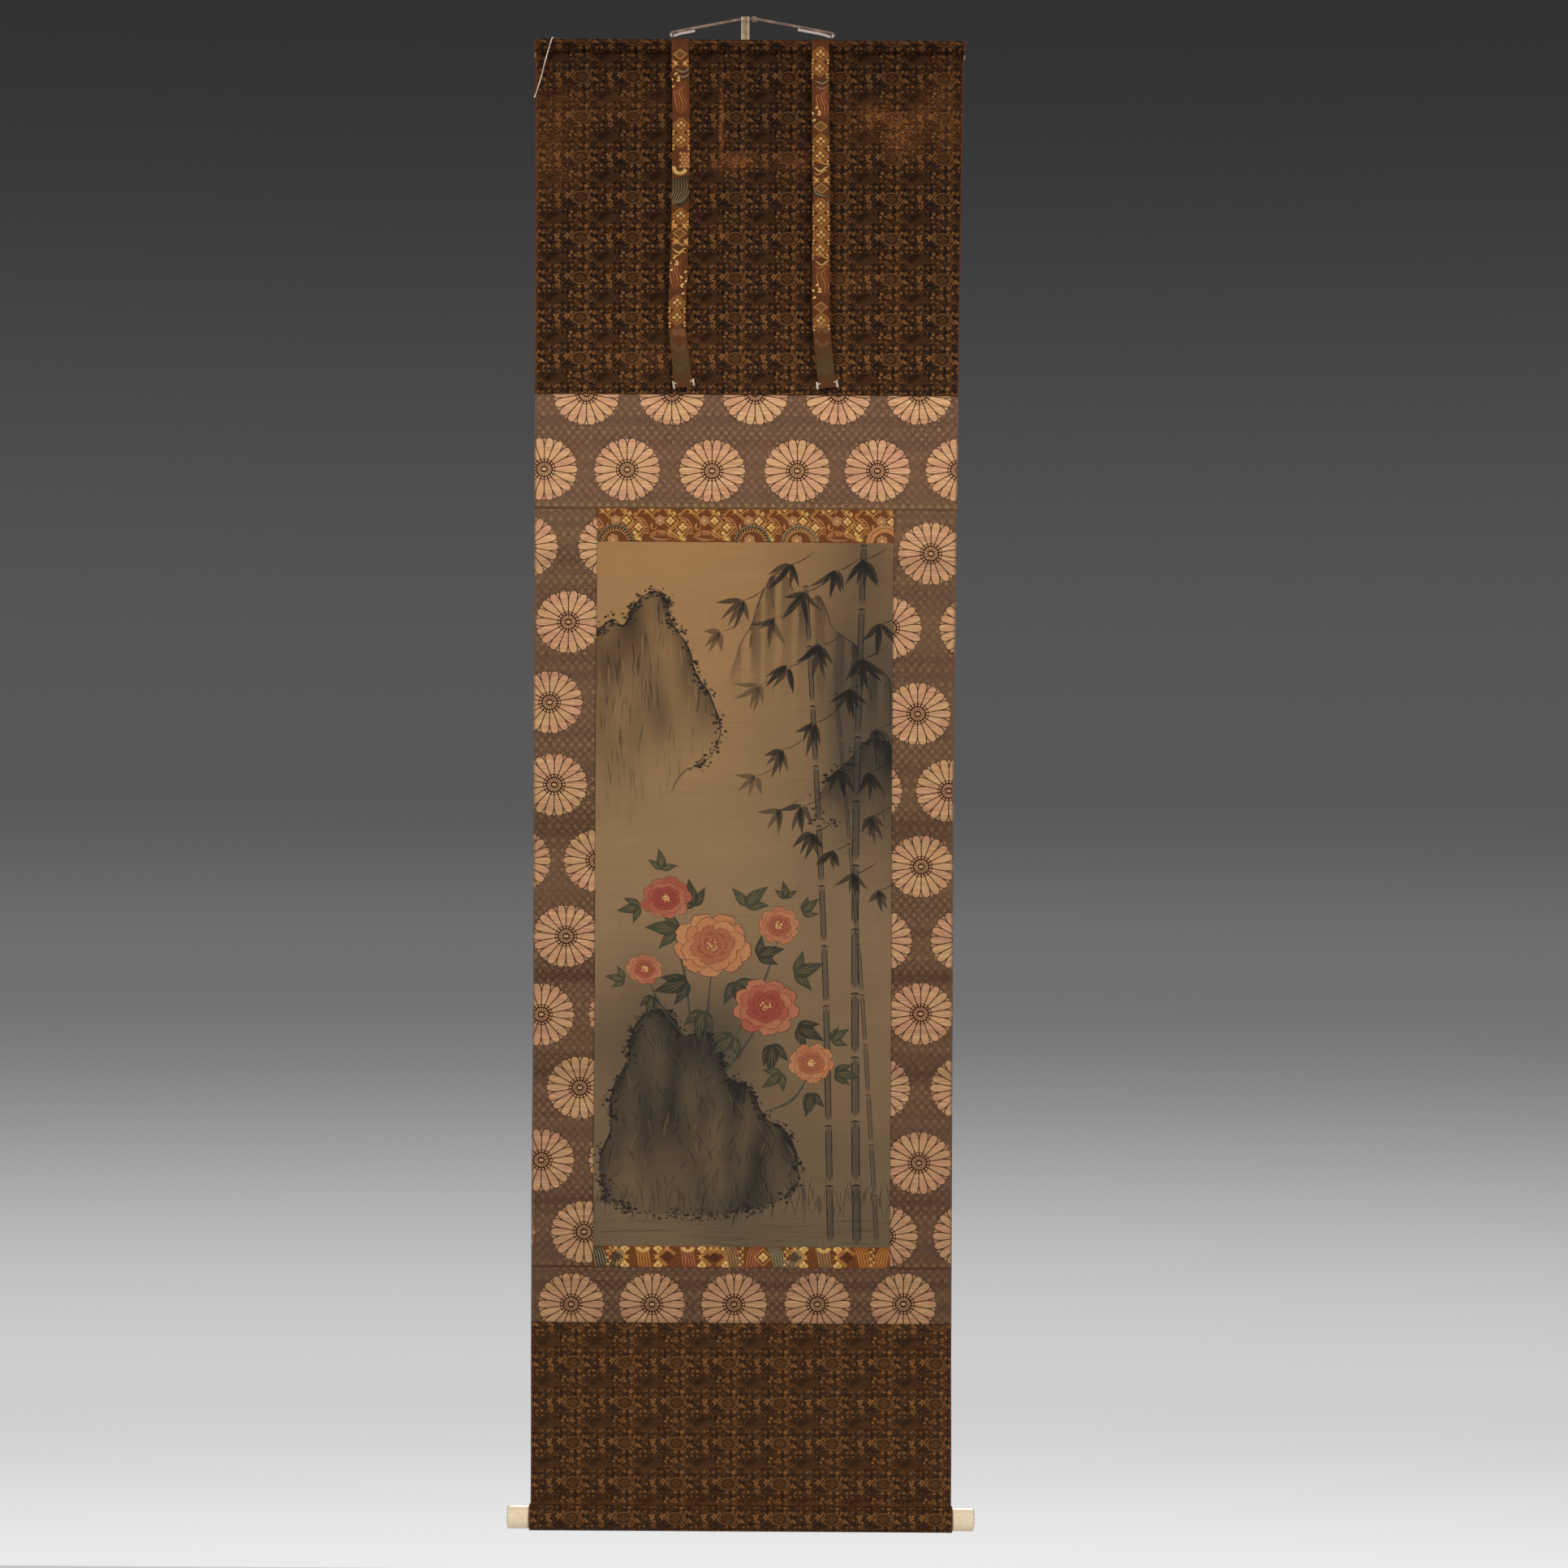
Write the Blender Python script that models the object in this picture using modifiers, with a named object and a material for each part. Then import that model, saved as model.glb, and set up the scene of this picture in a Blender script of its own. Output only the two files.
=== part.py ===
"""A hanging scroll: painted silk mounted in brocade borders, with its hanging rod, roller, ribbons and cords.

Metres, +Z up. The picture faces -Y, and +X is to the right of someone who faces it. The origin is
the underside of the hanging cord at its peak, where the cord rests on its hook. Heights on the
cloth are given as a drop, measured downwards from the cloth's top edge.
"""

from collections import namedtuple
from math import asin, cos, degrees, exp, pi, radians, sin

import bmesh
import bpy
from mathutils import Vector
from mathutils.geometry import interpolate_bezier

# Cloth
CLOTH = 0.0012  # silk on its paper backings
JOIN = 0.0003  # parting between pieces that meet
CLOTH_TOP = -0.0226  # height of the cloth's top edge

# The pieces of cloth from the top down, each by its height
TOP_PANEL = 0.429
UPPER_BAND = 0.138
UPPER_GOLD = 0.040
PICTURE = 0.850
LOWER_GOLD = 0.0255
LOWER_BAND = 0.0675
LOWER_PANEL = 0.251
PICTURE_HALF = 0.1788  # half the picture's width

TOP_SEAM = TOP_PANEL
UPPER_BAND_SEAM = TOP_SEAM + UPPER_BAND
UPPER_GOLD_SEAM = UPPER_BAND_SEAM + UPPER_GOLD
PICTURE_SEAM = UPPER_GOLD_SEAM + PICTURE
LOWER_GOLD_SEAM = PICTURE_SEAM + LOWER_GOLD
LOWER_BAND_SEAM = LOWER_GOLD_SEAM + LOWER_BAND
CLOTH_END = LOWER_BAND_SEAM + LOWER_PANEL

# Half-round hanging rod, its flat side to the wall
ROD_RADIUS = 0.0072
ROD_FLAT = 0.0007  # how far its flat lies behind the cloth's own plane
ROD_HEM = 0.006  # cloth glued down behind, below the rod
ROD_INSET = 0.0015
ROD_SIDE = 0.0013  # how far the sleeve stands out past the panel's edge
ROD_DROP = ROD_RADIUS + JOIN + CLOTH
ROD_WRAP = ROD_RADIUS + JOIN + CLOTH / 2
ROD_OUTER = ROD_RADIUS + JOIN + CLOTH

# Roller with a tenon at each end for its knob
ROLLER_RADIUS = 0.0145
ROLLER_HALF = 0.2548
ROLLER_SIDE = 0.0012
ROLLER_DROP = CLOTH_END - ROLLER_RADIUS - JOIN - CLOTH
ROLLER_WRAP = ROLLER_RADIUS + JOIN + CLOTH / 2
ROLLER_HEM_ANGLE = 352
TENON_RADIUS = 0.008
TENON = 0.014
KNOB_LENGTH = 0.0272
KNOB_RADIUS = 0.0142
KNOB_NECK = 0.0139
KNOB_ROUND = 0.003
KNOB_CROWN = 0.0006

# Eyes: split pins bent from wire, driven into the rod
EYE_LEFT = -0.0930
EYE_RIGHT = 0.0980
EYE_Y = -0.0022
EYE_WIRE = 0.00055
EYE_RADIUS = 0.00245
EYE_LEG = 0.00075
EYE_DEPTH = 0.0050
EYE_BORE = 0.00165

# Hanging cord
CORD_RADIUS = 0.0016
PEAK_LEFT = -0.0115
PEAK_RIGHT = 0.0095
CORD_TAIL_LEFT = 0.026  # doubled length beside the eye
CORD_TAIL_RIGHT = 0.040
CORD_PARTING = 0.0036  # between the doubled strands' middles

# Flat tie, wound over the cord and hanging behind the scroll
TIE_WIDTH = 0.0100
TIE_X = -0.0058
TIE_KNOT_START = 0.0012
TIE_KNOT_END = 0.0086

# Ribbons
RIBBON_HALF = 0.01045
RIBBON_START_ANGLE = 122  # round the rod's sleeve, from the back over the top
RIBBON_GAP = 0.0003

# Thread tufts beside the ribbons' lower corners
TUFT_LENGTH = 0.0090
TUFT_WAIST = 0.0009
TUFT_RADIUS = 0.0013
TUFT_OVERHANG = 0.0006  # how far they reach below the ribbon's end

# Thread looped round the upper left corner
THREAD_RADIUS = 0.0009

Edge = namedtuple("Edge", "drop left right")
EDGES = (  # how far each side of the cloth lies from the middle line
    Edge(0.000, 0.2587, 0.2587),
    Edge(0.187, 0.2576, 0.2569),
    Edge(0.422, 0.2571, 0.2545),
    Edge(0.657, 0.2566, 0.2530),
    Edge(0.892, 0.2561, 0.2516),
    Edge(1.128, 0.2546, 0.2521),
    Edge(1.363, 0.2551, 0.2525),
    Edge(1.598, 0.2546, 0.2530),
    Edge(1.715, 0.2538, 0.2538),
    Edge(1.801, 0.2538, 0.2538),
)

Crease = namedtuple("Crease", "drop tilt back reach")
CREASES = (  # soft ridges and hollows left by rolling; back is away from the viewer
    Crease(0.130, 0.02, -0.0014, 0.050),
    Crease(0.300, -0.03, 0.0019, 0.060),
    Crease(0.480, 0.02, -0.0012, 0.045),
    Crease(0.635, -0.01, 0.0018, 0.040),
    Crease(0.800, 0.04, -0.0015, 0.060),
    Crease(0.965, -0.02, 0.0021, 0.045),
    Crease(1.130, 0.03, -0.0017, 0.050),
    Crease(1.250, -0.01, 0.0014, 0.040),
    Crease(1.400, 0.03, -0.0015, 0.055),
    Crease(1.610, -0.02, 0.0017, 0.050),
)
CURL = 0.0030  # how far the free side edges curl back at half height

RibbonPoint = namedtuple("RibbonPoint", "drop left right front")
RIBBONS = (  # x of each ribbon's middle, and how far it hangs in front of the cloth
    RibbonPoint(0.012, -0.0841, 0.0850, 0.0089),
    RibbonPoint(0.100, -0.0823, 0.0858, 0.0098),
    RibbonPoint(0.190, -0.0827, 0.0873, 0.0108),
    RibbonPoint(0.250, -0.0833, 0.0872, 0.0114),
    RibbonPoint(0.310, -0.0850, 0.0875, 0.0120),
    RibbonPoint(0.340, -0.0857, 0.0878, 0.0123),
    RibbonPoint(0.365, -0.0836, 0.0899, 0.0104),
    RibbonPoint(0.395, -0.0804, 0.0931, 0.0080),
    RibbonPoint(0.4205, -0.0768, 0.0962, 0.0062),
)

TiePoint = namedtuple("TiePoint", "z back")
TIE_ROUTE = (  # below its turn round the cord
    TiePoint(-0.0060, 0.0008),
    TiePoint(-0.0140, 0.0038),
    TiePoint(-0.0240, 0.0050),
    TiePoint(-0.0600, 0.0062),
    TiePoint(-0.1500, 0.0075),
    TiePoint(-0.3000, 0.0082),
    TiePoint(-0.4500, 0.0075),
    TiePoint(-0.6000, 0.0083),
    TiePoint(-0.7500, 0.0078),
    TiePoint(-0.9000, 0.0080),
)

ThreadPoint = namedtuple("ThreadPoint", "x drop y")
THREAD_ROUTE = (  # down the front, round the side edge and up the back
    ThreadPoint(-0.2378, -0.0013, 0.0007),
    ThreadPoint(-0.2384, 0.0000, -0.0041),
    ThreadPoint(-0.2396, 0.0042, -0.0081),
    ThreadPoint(-0.2411, 0.0095, -0.0092),
    ThreadPoint(-0.2469, 0.0294, -0.0072),
    ThreadPoint(-0.2519, 0.0485, -0.0050),
    ThreadPoint(-0.2578, 0.0670, -0.0026),
    ThreadPoint(-0.2599, 0.0712, 0.0001),
    ThreadPoint(-0.2576, 0.0660, 0.0028),
    ThreadPoint(-0.2520, 0.0460, 0.0038),
    ThreadPoint(-0.2450, 0.0240, 0.0042),
    ThreadPoint(-0.2386, 0.0050, 0.0041),
    ThreadPoint(-0.2380, 0.0006, 0.0036),
    ThreadPoint(-0.2379, -0.0012, 0.0029),
)

COLOURS = {  # colour, roughness, metallic
    "brown_brocade": ((0.055, 0.026, 0.012), 0.75, 0.0),
    "border_cloth": ((0.13, 0.075, 0.042), 0.75, 0.0),
    "gold_brocade": ((0.25, 0.12, 0.045), 0.60, 0.0),
    "painted_silk": ((0.25, 0.15, 0.075), 0.70, 0.0),
    "wood": ((0.35, 0.22, 0.12), 0.60, 0.0),
    "bone": ((0.72, 0.60, 0.43), 0.35, 0.0),
    "iron": ((0.10, 0.08, 0.07), 0.50, 0.8),
    "braid": ((0.22, 0.16, 0.13), 0.80, 0.0),
    "pale_thread": ((0.62, 0.55, 0.46), 0.80, 0.0),
}


def between(table, drop, column):
    """The table's column at a drop, drawn straight between its rows."""
    rows = [row for row in table if row.drop <= drop] or [table[0]]
    low = rows[-1]
    high = table[min(len(rows), len(table) - 1)]
    share = (drop - low.drop) / (high.drop - low.drop) if high is not low else 0
    return getattr(low, column) + share * (getattr(high, column) - getattr(low, column))


def left_edge(drop):
    return -between(EDGES, drop, "left")


def right_edge(drop):
    return between(EDGES, drop, "right")


def picture_left(drop):
    return (left_edge(drop) + right_edge(drop)) / 2 - PICTURE_HALF


def picture_right(drop):
    return (left_edge(drop) + right_edge(drop)) / 2 + PICTURE_HALF


def lie(x, drop):
    """How far the cloth lies behind the plane of the rods."""
    rolled = sum(
        c.back * exp(-(((drop - c.drop - c.tilt * x) / c.reach) ** 2)) for c in CREASES
    )
    free = sin(pi * min(max(drop / ROLLER_DROP, 0), 1))
    return rolled + CURL * free * (x / EDGES[0].left) ** 6


def spread(start, end, count):
    """count + 1 even steps from start to end."""
    return [start + (end - start) * i / count for i in range(count + 1)]


def arc(centre, radius, start, end, count):
    """(y, drop) points round a centre. 0 degrees is backwards, 90 is up and 180 is towards the viewer."""
    y, drop = centre
    turns = [radians(angle) for angle in spread(start, end, count)]
    return [(y + radius * cos(a), drop - radius * sin(a)) for a in turns]


def finish(obj, material):
    base = bpy.data.materials.get(material)
    if base is None:
        colour, roughness, metallic = COLOURS[material]
        base = bpy.data.materials.new(material)
        base.use_nodes = True
        shader = base.node_tree.nodes["Principled BSDF"]
        shader.inputs["Base Color"].default_value = (*colour, 1)
        shader.inputs["Roughness"].default_value = roughness
        shader.inputs["Metallic"].default_value = metallic
    obj.data.materials.append(base)
    scroll.objects.link(obj)
    return obj


def cloth(name, rows, columns, point, material):
    """A sheet of cloth round the surface that point(row, across) draws, across from 0 to 1."""
    bm = bmesh.new()
    bmesh.ops.create_grid(bm, x_segments=columns, y_segments=rows, size=0.5)
    for vert in bm.verts:
        row = round((0.5 - vert.co.y) * rows)
        vert.co = point(row, round((vert.co.x + 0.5) * columns) / columns)
    mesh = bpy.data.meshes.new(name)
    bm.to_mesh(mesh)
    bm.free()
    mesh.shade_smooth()
    obj = bpy.data.objects.new(name, mesh)
    solid = obj.modifiers.new("Thickness", "SOLIDIFY")
    solid.thickness = CLOTH
    solid.offset = 0
    solid.use_even_offset = True
    return finish(obj, material)


def panel(name, left, right, top, bottom, rows, columns, material):
    """A flat piece between two side lines and two seams."""
    drops = spread(top + JOIN / 2, bottom - JOIN / 2, rows)

    def point(row, across):
        drop = drops[row]
        x = left(drop) + across * (right(drop) - left(drop))
        return x, lie(x, drop), CLOTH_TOP - drop

    return cloth(name, rows, columns, point, material)


def sleeved_panel(name, path, sleeve_side, columns):
    """A full-width piece that follows a path of (y, drop, in the sleeve) rows."""

    def point(row, across):
        y, drop, in_sleeve = path[row]
        side = sleeve_side if in_sleeve else 0
        left = left_edge(drop) - side
        x = left + across * (right_edge(drop) + side - left)
        sway = 0 if in_sleeve else lie(x, drop)
        return x, y + sway, CLOTH_TOP - drop

    return cloth(name, len(path) - 1, columns, point, "brown_brocade")


def make_top_panel():
    """The top panel, up its front, over the hanging rod and down behind it to a short hem."""
    back = ROD_FLAT + JOIN + CLOTH / 2
    hem = [(back, ROD_DROP + ROD_WRAP + ROD_HEM), (back, ROD_DROP), (back, ROD_DROP - ROD_WRAP)]
    wrap = arc((ROD_FLAT, ROD_DROP), ROD_WRAP, 90, 265, 12)
    crease = wrap.pop()[1]
    flat = [(0, drop) for drop in spread(crease, TOP_SEAM - JOIN / 2, 14)]
    path = [(y, drop, True) for y, drop in hem + wrap]
    path += [(y, drop, False) for y, drop in flat]
    return sleeved_panel("top_panel", path, ROD_SIDE, 12)


def make_bottom_panel():
    """The bottom panel, down to the roller and once round it, its hem behind."""
    wrap = arc((0, ROLLER_DROP), ROLLER_WRAP, 90, 90 + ROLLER_HEM_ANGLE, 24)[1:]
    crease = ROLLER_DROP - ROLLER_WRAP
    flat = [(0, drop) for drop in spread(LOWER_BAND_SEAM + JOIN / 2, crease, 8)]
    path = [(y, drop, False) for y, drop in flat]
    path += [(y, drop, True) for y, drop in wrap]
    return sleeved_panel("bottom_panel", path, ROLLER_SIDE, 12)


def make_borders():
    def inner_left(drop):
        return picture_left(drop) - JOIN / 2

    def inner_right(drop):
        return picture_right(drop) + JOIN / 2

    band = "border_cloth"
    panel("middle_band_top", left_edge, right_edge, TOP_SEAM, UPPER_BAND_SEAM, 5, 12, band)
    panel("middle_band_bottom", left_edge, right_edge, LOWER_GOLD_SEAM, LOWER_BAND_SEAM, 3, 12, band)
    panel("side_strip_left", left_edge, inner_left, UPPER_BAND_SEAM, LOWER_GOLD_SEAM, 24, 3, band)
    panel("side_strip_right", inner_right, right_edge, UPPER_BAND_SEAM, LOWER_GOLD_SEAM, 24, 3, band)


def make_picture():
    def left(drop):
        return picture_left(drop) + JOIN / 2

    def right(drop):
        return picture_right(drop) - JOIN / 2

    gold = "gold_brocade"
    panel("gold_strip_top", left, right, UPPER_BAND_SEAM, UPPER_GOLD_SEAM, 2, 8, gold)
    panel("picture_silk", left, right, UPPER_GOLD_SEAM, PICTURE_SEAM, 24, 8, "painted_silk")
    panel("gold_strip_bottom", left, right, PICTURE_SEAM, LOWER_GOLD_SEAM, 2, 8, gold)


def turned(name, profile, steps, location, turn, material):
    """A solid of revolution from (radius, height) points listed from its top down, turned about Y."""
    mesh = bpy.data.meshes.new(name)
    edges = [(i, i + 1) for i in range(len(profile) - 1)]
    mesh.from_pydata([(r, 0, h) for r, h in profile], edges, [])
    obj = bpy.data.objects.new(name, mesh)
    screw = obj.modifiers.new("Turn", "SCREW")
    screw.steps = steps
    screw.render_steps = steps
    screw.use_merge_vertices = True
    screw.merge_threshold = 0.00001
    obj.location = location
    obj.rotation_euler = (0, radians(turn), 0)
    return finish(obj, material)


def make_roller():
    half = ROLLER_HALF
    end = half + TENON
    profile = [(0, end), (TENON_RADIUS, end), (TENON_RADIUS, half), (ROLLER_RADIUS, half)]
    profile += [(r, -h) for r, h in reversed(profile)]
    turned("roller", profile, 28, (0, 0, CLOTH_TOP - ROLLER_DROP), 90, "wood")


def make_knob(name, turn):
    """A knob with a rounded, slightly crowned end and a socket for the roller's tenon."""
    shoulder = KNOB_LENGTH - KNOB_CROWN - KNOB_ROUND
    corner = [radians(angle) for angle in spread(90, 0, 4)]
    profile = [(0, KNOB_LENGTH)]
    profile += [
        (KNOB_RADIUS - KNOB_ROUND + KNOB_ROUND * cos(a), shoulder + KNOB_ROUND * sin(a))
        for a in corner
    ]
    profile += [(KNOB_NECK, 0), (TENON_RADIUS + JOIN, 0), (TENON_RADIUS + JOIN, TENON), (0, TENON)]
    side = 1 if turn > 0 else -1
    place = (side * (ROLLER_HALF + JOIN), 0, CLOTH_TOP - ROLLER_DROP)
    turned(name, profile, 28, place, turn, "bone")


def make_rod():
    """Half a round rod, cut along its flat, with a bore for each eye."""
    bm = bmesh.new()
    length = right_edge(0) - left_edge(0) + 2 * (ROD_SIDE - ROD_INSET)
    bmesh.ops.create_cone(
        bm, cap_ends=True, segments=24, radius1=ROD_RADIUS, radius2=ROD_RADIUS, depth=length
    )
    cut = bmesh.ops.bisect_plane(
        bm,
        geom=bm.verts[:] + bm.edges[:] + bm.faces[:],
        plane_co=(0, 0, 0),
        plane_no=(0, 1, 0),
        clear_outer=True,
    )
    rim = [item for item in cut["geom_cut"] if isinstance(item, bmesh.types.BMEdge)]
    bmesh.ops.contextual_create(bm, geom=rim)
    bmesh.ops.recalc_face_normals(bm, faces=bm.faces[:])
    mesh = bpy.data.meshes.new("hanging_rod")
    bm.to_mesh(mesh)
    bm.free()
    rod = bpy.data.objects.new("hanging_rod", mesh)
    rod.rotation_euler = (0, radians(90), 0)
    rod.location = (0, ROD_FLAT, CLOTH_TOP - ROD_DROP)
    return finish(rod, "wood")


def bore(cutter_name, x, bored):
    """A bore down through the sleeve's top into the rod."""
    bm = bmesh.new()
    depth = 2 * (EYE_DEPTH + JOIN)
    bmesh.ops.create_cone(
        bm, cap_ends=True, segments=12, radius1=EYE_BORE, radius2=EYE_BORE, depth=depth
    )
    mesh = bpy.data.meshes.new(cutter_name)
    bm.to_mesh(mesh)
    bm.free()
    cutter = bpy.data.objects.new(cutter_name, mesh)
    cutter.location = (x, EYE_Y, CLOTH_TOP)
    cutter.hide_render = True
    cutter.display_type = "WIRE"
    cutters.objects.link(cutter)
    for obj in bored:
        cut = obj.modifiers.new("Bore " + cutter_name, "BOOLEAN")
        cut.operation = "DIFFERENCE"
        cut.object = cutter


def wire(name, points, radius, material, cyclic=False, resolution=2):
    """A round wire, thread or cord along its middle line."""
    curve = bpy.data.curves.new(name, "CURVE")
    curve.dimensions = "3D"
    curve.bevel_depth = radius
    curve.bevel_resolution = resolution
    curve.use_fill_caps = not cyclic
    curve.twist_mode = "MINIMUM"
    spline = curve.splines.new("POLY")
    spline.points.add(len(points) - 1)
    for target, place in zip(spline.points, points):
        target.co = (*place, 1)
    spline.use_cyclic_u = cyclic
    return finish(bpy.data.objects.new(name, curve), material)


def eye_height():
    """The height of an eye's middle, its ring just clear of the sleeve."""
    lowest = EYE_RADIUS * cos(asin(EYE_LEG / EYE_RADIUS))
    return CLOTH_TOP + JOIN + EYE_WIRE + lowest


def make_eye(name, x):
    """One wire: up a leg, round the ring and down the other leg."""
    opening = asin(EYE_LEG / EYE_RADIUS)
    turns = spread(-pi / 2 + opening, 3 * pi / 2 - opening, 16)
    ring = [(EYE_Y + EYE_RADIUS * cos(a), eye_height() + EYE_RADIUS * sin(a)) for a in turns]
    foot = CLOTH_TOP - EYE_DEPTH
    bent = [(EYE_Y + EYE_LEG, foot), *ring, (EYE_Y - EYE_LEG, foot)]
    wire(name, [(x, y, z) for y, z in bent], EYE_WIRE, "iron", resolution=1)


def smooth(points, steps):
    """A smooth line through points, with some steps in each span. steps is one number or a list."""
    places = [Vector(p) for p in points]
    counts = [steps] * (len(places) - 1) if isinstance(steps, int) else steps
    line = [places[0]]
    for i, count in enumerate(counts):
        a, b = places[i], places[i + 1]
        before = places[max(i - 1, 0)]
        after = places[min(i + 2, len(places) - 1)]
        reach = (b - a).length / 3
        out = (b - before).normalized() * reach
        back = (after - a).normalized() * reach
        line += interpolate_bezier(a, a + out, b - back, b, count + 1)[1:]
    return line


def cord_end(eye_x, peak_x, tail):
    """(x, z) points from the end of the doubled tail, through the eye and back over it to the peak."""
    middle = eye_height()
    inwards = 1 if peak_x > eye_x else -1
    over = Vector((eye_x, middle + 2 * EYE_RADIUS))
    along = (Vector((peak_x, CORD_RADIUS)) - over).normalized()
    down = Vector((along.y * inwards, -along.x * inwards)) * CORD_PARTING
    strand = [over + along * reach + down for reach in spread(tail, tail / 3, 3)]
    turn = [
        Vector((eye_x - inwards * EYE_RADIUS * sin(a), middle + EYE_RADIUS - EYE_RADIUS * cos(a)))
        for a in spread(0, pi, 8)
    ]
    run = (Vector((peak_x, CORD_RADIUS)) - over).length
    climb = [over + along * reach for reach in spread(run / 8, run * 0.95, 7)]
    return strand + turn + climb


def make_cord():
    left = cord_end(EYE_LEFT, PEAK_LEFT, CORD_TAIL_LEFT)
    right = cord_end(EYE_RIGHT, PEAK_RIGHT, CORD_TAIL_RIGHT)
    peak = [Vector((x, CORD_RADIUS)) for x in spread(PEAK_LEFT, PEAK_RIGHT, 3)]
    route = left + peak + right[::-1]
    wire("hanging_cord", [(p.x, EYE_Y, p.y) for p in route], CORD_RADIUS, "braid")


def make_tie():
    """The flat tie: once over the cord's peak, then down behind the rod and the cloth."""
    reach = CORD_RADIUS + JOIN + CLOTH / 2
    turn = [
        (EYE_Y + reach * cos(a), CORD_RADIUS + reach * sin(a))
        for a in [radians(angle) for angle in spread(20, 265, 10)]
    ]
    below = [Vector((0, p.back, p.z)) for p in (TiePoint(turn[-1][1], turn[-1][0]), *TIE_ROUTE)]
    fall = smooth(below, [2, 2, 2, 2, 2, 3, 3, 3, 3, 3])[1:]
    path = turn + [(p.y, p.z) for p in fall]

    def point(row, across):
        y, z = path[row]
        return TIE_X + (across - 0.5) * TIE_WIDTH, y, z

    cloth("tie", len(path) - 1, 1, point, "braid")
    inner = CORD_RADIUS + JOIN
    outer = inner + CLOTH
    length = TIE_KNOT_END - TIE_KNOT_START
    chamfer = CLOTH / 3
    profile = [
        (inner, length),
        (outer - chamfer, length),
        (outer, length - chamfer),
        (outer, chamfer),
        (outer - chamfer, 0),
        (inner, 0),
        (inner, length),
    ]
    turned("tie_knot", profile, 16, (TIE_KNOT_START, EYE_Y, CORD_RADIUS), 90, "braid")


def ribbon_line(side):
    """(x, y, z) points down a ribbon's middle."""
    reach = ROD_OUTER + RIBBON_GAP + CLOTH / 2
    x = getattr(RIBBONS[0], side)
    over = arc((ROD_FLAT, ROD_DROP), reach, RIBBON_START_ANGLE, 180, 4)[:-1]
    top = [Vector((x, y, CLOTH_TOP - drop)) for y, drop in over]
    hang = [Vector((getattr(p, side), -p.front, CLOTH_TOP - p.drop)) for p in RIBBONS]
    return top + smooth(hang, [3, 3, 2, 2, 2, 2, 2, 2])


def ribbon_across(line, row):
    """The direction across a ribbon, square to its run as seen from the front."""
    if row < 4:
        return Vector((1, 0, 0))
    run = line[min(row + 1, len(line) - 1)] - line[row - 1]
    return Vector((-run.z, 0, run.x)).normalized()


def make_ribbon(side):
    line = ribbon_line(side)

    def point(row, across):
        return line[row] + ribbon_across(line, row) * (2 * across - 1) * RIBBON_HALF

    cloth("ribbon_" + side, len(line) - 1, 3, point, "gold_brocade")
    make_tufts(side, line[-1], ribbon_across(line, len(line) - 1))


def make_tufts(side, foot, across):
    """A short tied bundle of thread beside each lower corner, in line with the ribbon."""
    profile = [
        (0, 0),
        (TUFT_RADIUS * 0.9, 0),
        (TUFT_RADIUS, -TUFT_LENGTH * 0.12),
        (TUFT_WAIST, -TUFT_LENGTH * 0.28),
        (TUFT_RADIUS, -TUFT_LENGTH * 0.50),
        (TUFT_RADIUS, -TUFT_LENGTH),
        (0, -TUFT_LENGTH * 0.96),
    ]
    up = Vector((-across.z, 0, across.x))
    top = foot + up * (TUFT_LENGTH - TUFT_OVERHANG)
    for corner, sign in (("left", -1), ("right", 1)):
        place = top + across * sign * (RIBBON_HALF + JOIN + TUFT_RADIUS)
        turned(f"tuft_{side}_{corner}", profile, 10, place, degrees(-asin(across.z)), "pale_thread")


def make_corner_thread():
    loop = [(p.x, p.y, CLOTH_TOP - p.drop) for p in THREAD_ROUTE]
    steps = [2, 2, 2, 3, 2, 2, 2, 2, 2, 2, 2, 2, 1]
    wire("corner_thread", smooth(loop, steps), THREAD_RADIUS, "pale_thread", True, 1)


for old in list(bpy.data.objects):
    bpy.data.objects.remove(old)
scroll = bpy.data.collections.new("Hanging scroll")
cutters = bpy.data.collections.new("Cutters")
bpy.context.scene.collection.children.link(scroll)
bpy.context.scene.collection.children.link(cutters)

top_panel = make_top_panel()
make_bottom_panel()
make_borders()
make_picture()
hanging_rod = make_rod()
make_roller()
make_knob("knob_left", -90)
make_knob("knob_right", 90)
for side, eye_x in (("left", EYE_LEFT), ("right", EYE_RIGHT)):
    make_eye("eye_" + side, eye_x)
    bore("bore_" + side, eye_x, (top_panel, hanging_rod))
    make_ribbon(side)
make_cord()
make_tie()
make_corner_thread()
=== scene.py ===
import random
from collections import namedtuple
from itertools import accumulate
from math import asin, atan2, cos, exp, hypot, pi, radians, sin, sqrt

import bpy
import numpy as np
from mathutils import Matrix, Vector, noise
from mathutils.geometry import delaunay_2d_cdt, interpolate_bezier


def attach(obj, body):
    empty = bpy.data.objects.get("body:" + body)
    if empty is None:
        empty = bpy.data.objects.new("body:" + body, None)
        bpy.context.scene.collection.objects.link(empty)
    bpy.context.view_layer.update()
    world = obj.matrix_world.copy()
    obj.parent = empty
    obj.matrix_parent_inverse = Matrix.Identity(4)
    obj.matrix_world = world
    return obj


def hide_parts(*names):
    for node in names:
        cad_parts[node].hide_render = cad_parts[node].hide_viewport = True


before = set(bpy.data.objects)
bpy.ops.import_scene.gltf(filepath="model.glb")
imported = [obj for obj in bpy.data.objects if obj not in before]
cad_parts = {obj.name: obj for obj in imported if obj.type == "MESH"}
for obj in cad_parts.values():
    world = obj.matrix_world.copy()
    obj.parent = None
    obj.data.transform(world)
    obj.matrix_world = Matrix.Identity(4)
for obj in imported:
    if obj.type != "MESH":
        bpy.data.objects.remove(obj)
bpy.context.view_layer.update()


def table(columns, *rows):
    """Rows of values under named columns."""
    row_kind = namedtuple("Row", columns)
    return [row_kind(*row) for row in rows]


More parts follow.
